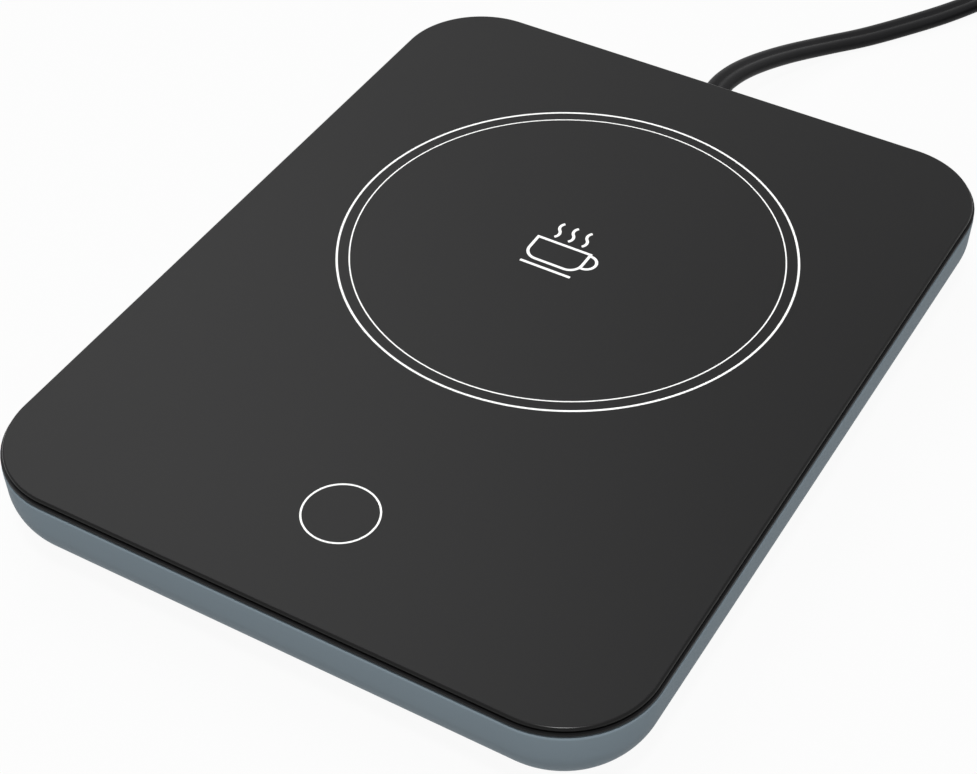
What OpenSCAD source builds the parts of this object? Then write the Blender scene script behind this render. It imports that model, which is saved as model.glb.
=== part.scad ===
// Electric mug warmer: a glass plate that floats on springs over a moulded base.
// Millimetres. X runs along the front edge, Y to the back, Z up, feet on Z = 0.

/* [Glass top] */
// Width of the floating plate, left to right
plate_w = 133; // [128:1:160]
// Length of the floating plate, front to back
plate_l = 173.3; // [166:0.1:200]
// Corner radius of the plate
plate_r = 18.5; // [15:0.5:22]
// How far the glass lies in from the plate's edge, where the frame shows
glass_in = 0.45; // [0.2:0.05:0.8]
// Thickness of the glass
glass_t = 1.1; // [0.8:0.1:2]
// Rounding along the glass's top edge
glass_edge_r = 0.5; // [0.2:0.1:0.7]

/* [Printed marks] */
// Centre of the mug area, from the middle towards the back
ring_y = 20.7; // [16:0.1:26]
// Radius of the outer printed ring
ring_r = 46; // [42:0.5:50]
// Line width of the outer ring
ring_line_w = 0.45; // [0.3:0.05:0.9]
// Radius of the inner printed ring
inner_ring_r = 43.5; // [38:0.5:45]
// Line width of the inner ring
inner_line_w = 0.28; // [0.2:0.02:0.6]
// Centre of the touch key, from the plate's front edge
key_y = 24.55; // [22:0.05:27]
// Radius of the ring round the touch key
key_r = 7.1; // [5:0.1:9]
// Line width of the key's ring
key_line_w = 0.38; // [0.2:0.02:0.8]
// Height of the raised ink
ink_t = 0.04; // [0.02:0.01:0.1]
// Width of the cup in the steaming-cup mark
mark_w = 12.5; // [9:0.5:16]
// Line width of the steaming-cup mark
mark_line_w = 0.6; // [0.4:0.05:0.8]

/* [Base shell] */
// How far the shell stands out past the plate
shell_proud = 0.05; // [0:0.05:0.5]
// Height of the shell, underside to rim
shell_h = 16.8; // [16.4:0.1:24]
// Thickness of the shell's walls
wall_t = 2; // [1.6:0.1:2.6]
// Thickness of the shell's floor
floor_t = 2.2; // [1.8:0.1:2.6]
// Radius of the rounded belly between wall and floor
belly_r = 12; // [9:0.5:13]
// How far the wall leans in from the rim to the belly
wall_draft = 0.2; // [0:0.05:0.6]
// Rounding of the rim's outer edge
rim_r = 0.6; // [0.1:0.05:0.8]
// Depth of the bare panel under the floor
panel_depth = 0.3; // [0.1:0.1:0.6]

/* [Feet] */
// Diameter of a foot
foot_d = 13; // [10:0.5:15]
// How far a foot stands below the shell
foot_h = 1.2; // [0.8:0.1:3]
// Depth of a foot's pocket in the shell
foot_pocket = 0.5; // [0.3:0.1:0.8]

/* [Floating plate] */
// How far the plate sinks under a full mug
plate_travel = 0.4; // [0.2:0.05:0.45]
// Open gap between the shell's rim and the frame's flange
plate_gap = 0.5; // [0.5:0.05:1]
// Thickness of the frame's flange under the glass
flange_t = 0.4; // [0.3:0.05:0.8]
// Thickness of the frame
frame_t = 2; // [1.6:0.1:2.6]
// Depth of the skirt below the frame
skirt_h = 1.5; // [1:0.1:2]
// Thickness of the skirt
skirt_t = 1.5; // [1:0.1:2]
// Gap between the skirt and the shell's wall
skirt_gap = 0.35; // [0.25:0.05:0.6]
// Distance of the guide posts from the plate's edges
post_in = 22.5; // [21:0.5:24]
// Diameter of a guide post
post_d = 5; // [4.5:0.1:5.5]
// Radial play of a guide post in its bore
post_play = 0.05; // [0.03:0.01:0.1]
// Wall of the guide tube round the post
guide_wall = 1.4; // [1:0.1:1.6]
// Depth of the post's stop collar below the frame
collar_h = 2.45; // [2:0.05:3]

/* [Return springs] */
// Wire diameter of a spring
spring_wire = 0.7; // [0.5:0.05:0.8]
// Radius of a spring's coil, to the middle of the wire
spring_r = 5.1; // [4.9:0.1:5.3]
// Number of turns in a spring
spring_turns = 5; // [3:1:6]

/* [Retaining screws] */
// Diameter of a retaining screw's shank
keep_d = 2.5; // [2:0.1:3]
// Length of the shank
keep_len = 8; // [6:0.5:9]
// Diameter of the washer face
keep_washer_d = 6.6; // [6:0.1:7]
// Thickness of the washer face
keep_washer_t = 0.6; // [0.4:0.1:1]
// Diameter of the screw's head
keep_head_d = 4.6; // [4:0.1:5.4]
// Height of the screw's head
keep_head_h = 1.8; // [1.4:0.1:2]
// Height of the head room above the shell's underside
head_room = 5.2; // [5:0.1:5.6]

/* [Heater] */
// Radius of the heat spreader
spreader_r = 45; // [43:0.5:46]
// Thickness of the heat spreader
spreader_t = 1; // [0.8:0.1:1.2]
// Radius of the heating disc
heater_r = 42; // [38:0.5:42.5]
// Thickness of the heating disc
heater_t = 0.6; // [0.4:0.1:0.8]
// Radius of the hole in the heating disc
heater_hole_r = 8; // [6:0.5:12]
// Thickness of the insulation
wool_t = 1.6; // [1.2:0.1:2]
// Thickness of the clamp plate
clamp_t = 0.6; // [0.5:0.1:1]
// Width of a clamp ear
ear_w = 8; // [7:0.5:9]
// Distance of the ear screws from the frame's round opening
ear_out = 4; // [3.8:0.1:5]
// Diameter of the heat sensor's cup
sensor_d = 8; // [6:0.5:10]
// Diameter of the thermal fuse
cutout_d = 3.6; // [3:0.1:4]
// Length of the thermal fuse
cutout_len = 10; // [8:0.5:11]

/* [Touch key] */
// Width of the key board
key_board_w = 26; // [24:1:30]
// Depth of the key board
key_board_l = 20; // [19:0.5:22]
// Thickness of the key board
key_board_t = 1; // [0.8:0.1:1.2]
// Thickness of the light guide
guide_disc_t = 1; // [0.8:0.1:1.1]
// Height of a light
light_h = 0.8; // [0.6:0.1:0.9]

/* [Main board] */
// Width of the main board
board_w = 72; // [70:1:73]
// Depth of the main board
board_l = 44; // [43:1:46]
// Thickness of the main board
board_t = 1.6; // [1.2:0.1:2]
// Middle of the main board, from the plate's front edge
board_y = 32.65; // [31.65:0.05:33.65]
// Height of the board's pillars above the floor
pillar_h = 2.5; // [2:0.1:3]
// Diameter of a pillar
pillar_d = 5; // [4.5:0.1:6]

/* [Weight switch] */
// Length of the switch
switch_w = 12.8; // [12:0.1:13.5]
// Depth of the switch
switch_l = 5.8; // [5.4:0.1:6.2]
// Height of the switch
switch_h = 6.5; // [6:0.1:6.8]
// Diameter of the plunger
plunger_d = 1.9; // [1.6:0.1:2.2]
// Radial play of the plunger
plunger_play = 0.05; // [0.03:0.01:0.1]
// How far the plunger stands out
plunger_out = 0.8; // [0.6:0.1:1]

/* [Power cord] */
// Width of the flat two-core cord
cord_w = 5.65; // [5:0.05:6]
// Thickness of the cord
cord_t = 2.9; // [2.5:0.1:3.1]
// Sideways place of the cord's exit
cord_x = -4; // [-6:0.5:6]
// Height of the cord's exit above the surface
cord_z = 9; // [8.5:0.1:10]
// Diameter of the strain relief at the shell
relief_d = 8.6; // [8:0.1:9.4]
// Diameter of the strain relief at its tip
relief_tip_d = 6.6; // [6.2:0.1:7]
// Radius of the coil's outer turn
coil_r = 37; // [34:0.5:40]
// Step between neighbouring turns of the coil
coil_step = 3.8; // [3.6:0.1:4.2]
// Height of one layer of the coil
layer_h = 6.2; // [6.1:0.1:6.8]
// Whole turns of the coil
coil_turns = 5; // [3:1:6]
// Width of the coil's tie
tie_w = 6; // [4:0.5:8]
// Thickness of the coil's tie
tie_t = 0.8; // [0.6:0.1:1.2]

/* [Plug] */
// Width of the plug's body
plug_w = 24; // [22:0.5:26]
// Height of the plug's body
plug_h = 11; // [10:0.5:12]
// Length of the plug's body
plug_len = 22; // [20:0.5:26]
// Length of the plug's own strain relief
plug_relief_len = 16; // [12:1:20]
// Distance between the blades
blade_gap = 12.7; // [12.7:0.1:13]
// Width of a blade
blade_w = 6.35; // [6:0.05:6.5]
// Thickness of a blade
blade_t = 1.5; // [1.3:0.1:1.6]
// Length of a blade
blade_len = 17; // [15:0.5:18]

/* [Hidden] */
$fn = 64;

// Clearances
stop_gap = 0.05;
seat_gap = 0.1;
hole_gap = 0.02;
lie_gap = 0.05;
wire_gap = 0.05;

// Heights
shell_z = foot_h;
floor_z = shell_z + floor_t;
rim_z = shell_z + shell_h;
flange_z = rim_z + plate_gap;
glass_z = flange_z + flange_t;
top_z = glass_z + glass_t;
frame_z = glass_z - frame_t;
heater_z = glass_z - spreader_t;
wool_z = heater_z - heater_t;
clamp_z = wool_z - wool_t;
ear_z = clamp_z - clamp_t;
shelf_z = shell_z + head_room;
shelf_t = 1.6;
seat_z = shelf_z + shelf_t;
collar_z = frame_z - collar_h;
guide_z = collar_z - plate_travel - stop_gap;
post_end_z = shelf_z - stop_gap;
board_z = floor_z + pillar_h;
deck_z = board_z + board_t;

// Outlines
shell_w = plate_w + 2 * shell_proud;
shell_l = plate_l + 2 * shell_proud;
shell_r = plate_r + shell_proud;
skirt_in = wall_t + skirt_gap - shell_proud;
skirt_w = plate_w - 2 * skirt_in;
skirt_l = plate_l - 2 * skirt_in;
skirt_r = plate_r - skirt_in;
arc_steps = 12;

// Adhesive under the glass
adhesive_in = 5.7;
adhesive_w = 6;
adhesive_t = 0.3;
adhesive_play = 0.1;

// Guide posts
post_x = plate_w / 2 - post_in;
post_y = plate_l / 2 - post_in;
bore_d = post_d + 2 * post_play;
guide_d = bore_d + 2 * guide_wall;
pedestal_d = 13;
chamber_d = keep_washer_d + 1;
collar_d = guide_d;

// Wires inside, with hand-chosen points where they lie free
lead_d = 1.6;
pair_gap = 1.8;
core_gap = 2.6;
end_run = 4;
supply_route = [[-12, 48, 7.5], [-24, 34, 6.5], [-27, 12, 6.2], [-26.5, -12, 7]];
sensor_route = [[-1, 15, 11.8], [-4, 4, 11], [-8, -14, 10.5]];

// Heater
heater_gap = 0.5;
opening_r = spreader_r + heater_gap;
ear_r = opening_r + ear_out;
ear_angle = 30;
ear_angles = [ear_angle, 180 - ear_angle, 180 + ear_angle, -ear_angle];
ear_boss_d = 6.5;
ear_screw_d = 2.4;
ear_screw_len = 3.2;
ear_head_d = 4.4;
ear_head_h = 1.4;
tab_w = 4;
tab_out = 2.6;
tab_x = [3, 10];
tab_r = heater_r + tab_out - lead_d / 2 - heater_gap / 2;
cutout_x = 19;
cutout_y = ring_y - 27;
cutout_z = ear_z - cutout_d / 2 - seat_gap;
cutout_lead = 2;
strap_t = 0.5;
strap_w = 5;

// Touch key
key_mid = key_y - plate_l / 2;
window_r = key_r + 1.4;
key_spring_r = 2.6;
key_spring_wire = 0.5;
key_hole_r = 4;
key_screw_x = 10.5;
key_screw_d = 2;

// Main board, with its connectors in a row beside the weight switch
board_mid = board_y - plate_l / 2;
board_gap = 1;
pillar_x = board_w / 2 - 4;
pillar_y = board_l / 2 - 4;
screw_d = 2;
screw_head_d = 3.8;
screw_head_h = 1.4;
switch_y = board_mid + board_l / 2 - 4;
plug_row_y = switch_y - 2;
connector_w = 9;
connector_l = 6;
connector_h = 6;
small_w = 6;
small_h = 4.6;
key_header_y = 3.5;
outlet_x = 21;
supply_x = -outlet_x;
signal_x = -11.5;
row_y = plug_row_y + connector_l / 2 + wire_gap;
row_z = deck_z + connector_h / 2;
small_row_z = deck_z + small_h / 2;
switch_pin = 0.8;
switch_lip = 0.7;
cavity_r = 1.6;
plunger_flange_r = 1.45;
plunger_flange_t = 0.6;
plunger_z = deck_z + switch_h + plunger_out;

// Cord inside the shell
back_y = shell_l / 2;
relief_back = 8.8;
relief_in = 10;
relief_flange_d = 10;
relief_flange_t = 1.5;
tip_y = back_y + relief_back;
stub_y = back_y - relief_in - relief_flange_t;
stub_len = 13;
clamp_y = stub_y - 7;
clamp_half = 8;
clamp_bar_l = 6;
clamp_bar_t = 2.4;
clamp_boss_d = 5.4;

// Free cord: its first points lie in sight, the last ones turn it on edge
lead_points = [[-4, 95.5, 9], [-4, 98, 9], [-3.95, 103, 8.8], [-3, 109.5, 8], [-1, 117, 6.6],
    [2.25, 125.75, 4.75], [7.35, 135.85, 2.75], [13, 144.4, 1.7], [19, 153, 1.5],
    [25.5, 162.8, 1.5], [31, 171.8, 1.8], [36, 179.7, 2.3], [41, 187, 3.1]];
lead_rolls = [0, 0, 0, 0, 0, 0, 0, 0, 0, 0, 8, 32, 62, 90, 90];
tail_points = [[116.5, 158, 7.8], [116.5, 148, 5.8], [116.5, 140, 5.5]];
tail_rolls = [90, 90, 60, 25, 0, 0, 0];
coil_x = 79.5;
coil_y = 175.5;
coil_start = 140;
rings_per_turn = 24;

// Coil of the cord
half_w = cord_w / 2;
half_t = cord_t / 2;
tie_gap = 0.2;
coil_z = lie_gap + tie_t + tie_gap + half_w;
turns = coil_turns + coil_start / 360;
rings = ceil(turns * rings_per_turn);
coil_heading = coil_start - 90;
lead_end = coil_point(0) - cord_w * heading(coil_heading);
tail_start = coil_point(turns) - cord_w * heading(90);
tie_angle = 60;

// Plug
plug_x = tail_points[2][0];
plug_y = 128;
plug_z = plug_h / 2 + lie_gap;
plug_edge = 3;
plug_front_y = plug_y - plug_relief_len - plug_len;
plug_relief_w = 9;
plug_relief_h = 6.6;

// Colours
c_glass = [0.15, 0.15, 0.15];
c_ink = [0.95, 0.95, 0.95];
c_frame = [0.1, 0.1, 0.1];
c_shell = [0.42, 0.47, 0.5];
c_rubber = [0.12, 0.12, 0.12];
c_steel = [0.75, 0.76, 0.78];
c_alu = [0.82, 0.83, 0.85];
c_mica = [0.72, 0.62, 0.42];
c_wool = [0.9, 0.88, 0.82];
c_board = [0.1, 0.35, 0.2];
c_part = [0.2, 0.2, 0.22];
c_copper = [0.85, 0.55, 0.3];
c_cord = [0.13, 0.13, 0.13];

// ---- Shared functions ----

function unit(v) = v / norm(v);
function heading(a) = [cos(a), sin(a), 0];

// A quarter round of the side outline, as [distance in, height] pairs
function quarter_up(r, inset, z) = [for (i = [0:arc_steps])
    let (a = 90 * i / arc_steps) [inset + r * (1 - sin(a)), z + r * (1 - cos(a))]];
function quarter_in(r, z) = [for (i = [0:4])
    let (a = 90 * i / 4) [r * (1 - cos(a)), z - r * (1 - sin(a))]];

// Both halves of a side outline, for a slab of the given half width
function both_sides(half, side) = concat([for (s = side) [half - s[0], s[1]]],
    [for (i = [len(side) - 1:-1:0]) [side[i][0] - half, side[i][1]]]);

// Direction of a path at point i
function along(p, i) = unit(p[min(i + 1, len(p) - 1)] - p[max(i - 1, 0)]);

// Points of a smooth curve through p, n to each stretch but the first and last, which are straight
function curve(p, n) = concat([p[0]], [for (i = [1:len(p) - 3], j = [0:n - 1])
    let (a = p[i - 1], b = p[i], c = p[i + 1], d = p[i + 2], t = j / n)
        b + (c - a) * t / 2 + (2 * a - 5 * b + 4 * c - d) * t * t / 2
        + (3 * b - a - 3 * c + d) * t * t * t / 2], [p[len(p) - 2], p[len(p) - 1]]);

// Round section of a wire, and flat sections of the cord with its wide way first
function round_section(r, n) = [for (i = [0:n - 1]) r * [cos(360 * i / n), sin(360 * i / n)]];
function flat_section(a, b) = [[a, -0.4 * b], [a, 0.4 * b], [a - 0.6 * b, b], [0.6 * b - a, b],
    [-a, 0.4 * b], [-a, -0.4 * b], [0.6 * b - a, -b], [a - 0.6 * b, -b]];
function edge_section(a, b) = [[a, 0], [a - b, b], [b - a, b], [-a, 0], [b - a, -b], [a - b, -b]];

// A section set square to direction d at point p, turned by roll about d
function ring_at(p, d, section, roll, ref) = let (s = unit(cross(d, ref)), u = cross(s, d),
    w = cos(roll) * s + sin(roll) * u, v = cos(roll) * u - sin(roll) * s)
    [for (q = section) p + q[0] * w + q[1] * v];

// A coil's centre line: it spirals in, climbs one layer and spirals out again
function climb(t) = let (s = max(0, min(1, 2 * (t - turns / 2) + 0.5))) s * s * (3 - 2 * s);
function coil_radius(t) = coil_r - coil_step * min(t, turns - t);
function coil_point(t) = [coil_x, coil_y, coil_z + layer_h * climb(t)]
    + coil_radius(t) * heading(coil_start - 360 * t);

// ---- Shared shapes ----

// A slab with round corners whose sides follow [distance in, height] pairs
module slab(w, l, r, side) {
    low = side[0][1];
    high = side[len(side) - 1][1];
    rotate([90, 0, 90])
        linear_extrude(w - 2 * r, center = true) polygon(both_sides(l / 2, side));
    rotate([90, 0, 0])
        linear_extrude(l - 2 * r, center = true) polygon(both_sides(w / 2, side));
    for (x = [-1, 1], y = [-1, 1])
        translate([x * (w / 2 - r), y * (l / 2 - r), 0])
            rotate_extrude()
                polygon(concat([[0, high], [0, low]], [for (s = side) [r - s[0], s[1]]]));
}

// A plain slab with upright sides
module flat_slab(w, l, r, z, h) {
    slab(w, l, r, [[0, z], [0, z + h]]);
}

// A flat closed band with round corners
module slab_band(w, l, r, t, z, h) {
    difference() {
        flat_slab(w, l, r, z, h);
        flat_slab(w - 2 * t, l - 2 * t, r - t, z - 1, h + 2);
    }
}

// A washer or tube
module ring(r_out, r_in, h) {
    difference() {
        cylinder(r = r_out, h = h);
        translate([0, 0, -1]) cylinder(r = r_in, h = h + 2);
    }
}

// Copies at the four posts
module at_posts() {
    for (x = [-1, 1], y = [-1, 1]) translate([x * post_x, y * post_y, 0]) children();
}

// Copies at the main board's pillars
module at_pillars() {
    for (x = [-1, 1], y = [-1, 1])
        translate([x * pillar_x, board_mid + y * pillar_y, 0]) children();
}

// Copies at the clamp's ears
module at_ears() {
    for (a = ear_angles) translate([0, ring_y, 0]) rotate(a) translate([ear_r, 0, 0]) children();
}

// A tube swept along points, with one ring of the section at each point
module sweep(p, section, rolls, ref) {
    n = len(section);
    m = len(p);
    shell = [for (i = [0:m - 1])
        each ring_at(p[i], along(p, i), section, len(rolls) == m ? rolls[i] : 0, ref)];
    sides = [for (i = [0:m - 2], j = [0:n - 1])
        let (a = i * n + j, b = i * n + (j + 1) % n) each [[a, b, b + n], [a, b + n, a + n]]];
    first = [for (j = [1:n - 2]) [0, j + 1, j]];
    last = [for (j = [1:n - 2]) (m - 1) * n * [1, 1, 1] + [0, j, j + 1]];
    polyhedron(points = shell, faces = concat(sides, first, last));
}

// A round wire through points, smoothed
module wire(p, d, ref) {
    sweep(curve(p, 4), round_section(d / 2, 8), [], ref);
}

// A helix of round wire standing on z = 0, its wire ends level
module helix(r, d, h, count) {
    n = 12 * count;
    rise = h - d;
    p = [for (i = [0:n])
        let (s = max(0, min(1, (i / n * count - 0.5) / (count - 1))))
            [r * cos(30 * i), r * sin(30 * i), d / 2 + rise * s]];
    sweep(p, round_section(d / 2, 6), [], [0, 0, 1]);
}

// A screw seen from its head, which starts at z = 0 and points down; the shank points up
module screw(d, len, head_d, head_h) {
    slot_w = head_d / 7;
    slot_l = head_d * 0.55;
    slot_depth = head_h / 2;
    cylinder(d = d, h = len);
    difference() {
        translate([0, 0, -head_h]) cylinder(d = head_d, h = head_h);
        for (a = [0, 90])
            rotate(a)
                translate([-slot_l / 2, -slot_w / 2, -head_h - 1])
                    cube([slot_l, slot_w, slot_depth + 1]);
    }
}

// ---- Floating plate ----

module glass_plate() {
    color(c_glass)
        slab(plate_w - 2 * glass_in, plate_l - 2 * glass_in, plate_r - glass_in,
            concat([[0, glass_z]], quarter_in(glass_edge_r, top_z)));
}

module ring_print() {
    color(c_ink) {
        translate([0, ring_y, top_z]) {
            ring(ring_r + ring_line_w / 2, ring_r - ring_line_w / 2, ink_t);
            ring(inner_ring_r + inner_line_w / 2, inner_ring_r - inner_line_w / 2, ink_t);
        }
        translate([0, key_mid, top_z])
            ring(key_r + key_line_w / 2, key_r - key_line_w / 2, ink_t);
    }
}

// A plain line drawing of a cup on a saucer, with three curls of steam over it
module cup_mark() {
    cup_h = mark_w * 0.56;
    cup_r = mark_w * 0.24;
    handle_r = mark_w * 0.19;
    saucer_gap = mark_w * 0.09;
    steam_gap = mark_w * 0.09;
    bend = mark_w * 0.09;
    color(c_ink)
        translate([-handle_r / 2, ring_y - mark_w * 0.45, top_z])
            linear_extrude(ink_t) {
                difference() {
                    cup_outline(mark_w, cup_h, cup_r);
                    translate([0, mark_line_w])
                        cup_outline(mark_w - 2 * mark_line_w, cup_h - 2 * mark_line_w,
                            cup_r - mark_line_w);
                }
                translate([mark_w / 2, cup_h * 0.6])
                    difference() {
                        circle(handle_r);
                        circle(handle_r - mark_line_w);
                        translate([-2 * handle_r - mark_line_w / 2, -handle_r])
                            square(2 * handle_r);
                    }
                translate([-mark_w * 0.45, -saucer_gap - mark_line_w])
                    square([mark_w * 0.9, mark_line_w]);
                for (x = [-0.25, 0, 0.25])
                    translate([x * mark_w, cup_h + steam_gap]) {
                        steam_bend(bend, mark_line_w, 1);
                        translate([0, 2 * bend]) steam_bend(bend, mark_line_w, -1);
                    }
            }
}

// The outside of a cup that stands on y = 0: square at the lip, round at the foot
module cup_outline(w, h, r) {
    translate([-w / 2, r]) square([w, h - r]);
    translate([r - w / 2, 0]) square([w - 2 * r, h]);
    for (x = [-1, 1]) translate([x * (w / 2 - r), r]) circle(r);
}

// One bend of a curl of steam: a quarter of a ring, from x = 0 out to a side and back, with
// half of its height given as reach, and cut a little past its radii to join the next bend
module steam_bend(reach, line, side) {
    r = reach / sin(45);
    past = line / 20;
    translate([-side * reach, reach])
        intersection() {
            difference() {
                circle(r + line / 2);
                circle(r - line / 2);
            }
            polygon([[-side * past, 0], [side * 2 * r, 2 * r + past],
                [side * 2 * r, -2 * r - past]]);
        }
}

module glass_adhesive() {
    in = 2 * (adhesive_in + adhesive_play);
    color(c_rubber)
        slab_band(plate_w - in, plate_l - in, plate_r - adhesive_in - adhesive_play,
            adhesive_w - 2 * adhesive_play, glass_z - adhesive_t, adhesive_t);
}

module top_frame() {
    pilot_z = glass_z - 0.5;
    presser_z = plunger_z + wire_gap;
    rib_w = 1.2;
    rib_h = 1;
    rib_y = key_mid + key_board_l / 2 + 4;
    color(c_frame)
        difference() {
            union() {
                flat_slab(plate_w, plate_l, plate_r, flange_z, flange_t);
                flat_slab(skirt_w, skirt_l, skirt_r, frame_z, frame_t);
                slab_band(skirt_w, skirt_l, skirt_r, skirt_t, frame_z - skirt_h, skirt_h);
                at_posts() {
                    translate([0, 0, post_end_z]) cylinder(d = post_d, h = frame_z - post_end_z);
                    translate([0, 0, collar_z]) cylinder(d = collar_d, h = collar_h);
                }
                at_ears() translate([0, 0, clamp_z]) cylinder(d = ear_boss_d, h = frame_z - clamp_z);
                translate([0, switch_y, presser_z]) cylinder(d = 4, h = frame_z - presser_z);
                for (y = [rib_y, -rib_y])
                    translate([-post_x + collar_d, y - rib_w / 2, frame_z - rib_h])
                        cube([2 * (post_x - collar_d), rib_w, rib_h]);
            }
            translate([0, ring_y, frame_z - skirt_h - 1]) cylinder(r = opening_r, h = 20);
            translate([0, key_mid, frame_z - 1]) cylinder(r = window_r, h = frame_t + 2);
            slab_band(plate_w - 2 * adhesive_in, plate_l - 2 * adhesive_in, plate_r - adhesive_in,
                adhesive_w, glass_z - adhesive_t, adhesive_t + 1);
            at_posts()
                translate([0, 0, post_end_z - 1])
                    cylinder(d = keep_d + 2 * hole_gap, h = keep_len + 1.5);
            at_ears()
                translate([0, 0, clamp_z - 1])
                    cylinder(d = ear_screw_d + 2 * hole_gap, h = pilot_z - clamp_z + 1);
            for (x = [-1, 1])
                translate([x * key_screw_x, key_mid, frame_z - 1])
                    cylinder(d = key_screw_d + 2 * hole_gap, h = frame_t + 0.5);
        }
}

module heat_spreader() {
    color(c_alu) translate([0, ring_y, heater_z]) cylinder(r = spreader_r, h = spreader_t);
}

module heating_disc() {
    color(c_mica)
        translate([0, ring_y, wool_z])
            difference() {
                union() {
                    cylinder(r = heater_r, h = heater_t);
                    for (x = tab_x)
                        translate([x - tab_w / 2, -heater_r - tab_out + 1.2, 0])
                            cube([tab_w, tab_out + 3, heater_t]);
                }
                translate([0, 0, -1]) cylinder(r = heater_hole_r, h = heater_t + 2);
            }
}

module insulation_disc() {
    color(c_wool)
        translate([0, ring_y, clamp_z]) ring(heater_r - 0.5, sensor_d / 2 + seat_gap, wool_t);
}

module heater_clamp() {
    strap_z = cutout_z - cutout_d / 2 - seat_gap;
    strap_l = cutout_d + 2 * seat_gap;
    color(c_steel) {
        difference() {
            union() {
                translate([0, ring_y, ear_z]) cylinder(r = heater_r, h = clamp_t);
                for (a = ear_angles)
                    translate([0, ring_y, ear_z])
                        rotate(a) {
                            translate([0, -ear_w / 2, 0]) cube([ear_r, ear_w, clamp_t]);
                            translate([ear_r, 0, 0]) cylinder(d = ear_w, h = clamp_t);
                        }
            }
            at_ears() translate([0, 0, ear_z - 1]) cylinder(d = ear_screw_d + 0.4, h = clamp_t + 2);
            translate([0, ring_y, ear_z - 1]) cylinder(d = sensor_d - 2, h = clamp_t + 2);
        }
        translate([cutout_x - strap_w / 2, cutout_y - strap_l / 2 - strap_t, strap_z - strap_t])
            difference() {
                cube([strap_w, strap_l + 2 * strap_t, ear_z - strap_z + strap_t]);
                translate([-1, strap_t, strap_t])
                    cube([strap_w + 2, strap_l, ear_z - strap_z]);
            }
    }
}

module clamp_screws() {
    color(c_steel)
        at_ears() translate([0, 0, ear_z]) screw(ear_screw_d, ear_screw_len, ear_head_d, ear_head_h);
}

module heat_sensor() {
    color(c_alu)
        translate([0, ring_y, clamp_z])
            cylinder(d = sensor_d, h = heater_z - clamp_z);
}

module thermal_fuse() {
    color(c_steel)
        translate([cutout_x, cutout_y, cutout_z])
            rotate([0, 90, 0]) {
                cylinder(d = cutout_d, h = cutout_len, center = true);
                cylinder(d = 1, h = cutout_len + 2 * cutout_lead, center = true);
            }
}

module key_board() {
    color(c_board)
        translate([0, key_mid, frame_z - key_board_t])
            difference() {
                translate([-key_board_w / 2, -key_board_l / 2, 0])
                    cube([key_board_w, key_board_l, key_board_t]);
                for (x = [-1, 1])
                    translate([x * key_screw_x, 0, -1])
                        cylinder(d = key_screw_d + 0.2, h = key_board_t + 2);
            }
}

module key_board_screws() {
    color(c_steel)
        for (x = [-1, 1])
            translate([x * key_screw_x, key_mid, frame_z - key_board_t])
                screw(key_screw_d, key_board_t + 1.2, screw_head_d, screw_head_h);
}

module key_spring() {
    color(c_copper)
        translate([0, key_mid, frame_z])
            helix(key_spring_r, key_spring_wire, frame_t - wire_gap, 3);
}

module key_light_guide() {
    color([0.9, 0.9, 0.88])
        translate([0, key_mid, glass_z - guide_disc_t])
            ring(window_r - seat_gap, key_hole_r, guide_disc_t);
}

module key_lights() {
    light_w = 2;
    light_r = (window_r + key_hole_r) / 2;
    color([0.95, 0.9, 0.6])
        for (a = [0:90:270])
            translate([0, key_mid, frame_z])
                rotate(a)
                    translate([light_r - light_w / 2, -light_w / 2, 0])
                        cube([light_w, light_w, light_h]);
}

module retaining_screws() {
    color(c_steel)
        at_posts()
            translate([0, 0, post_end_z]) {
                translate([0, 0, -keep_washer_t])
                    screw(keep_d, keep_len + keep_washer_t, keep_head_d, keep_head_h);
                translate([0, 0, -keep_washer_t]) cylinder(d = keep_washer_d, h = keep_washer_t);
            }
}

// ---- Base ----

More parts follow.
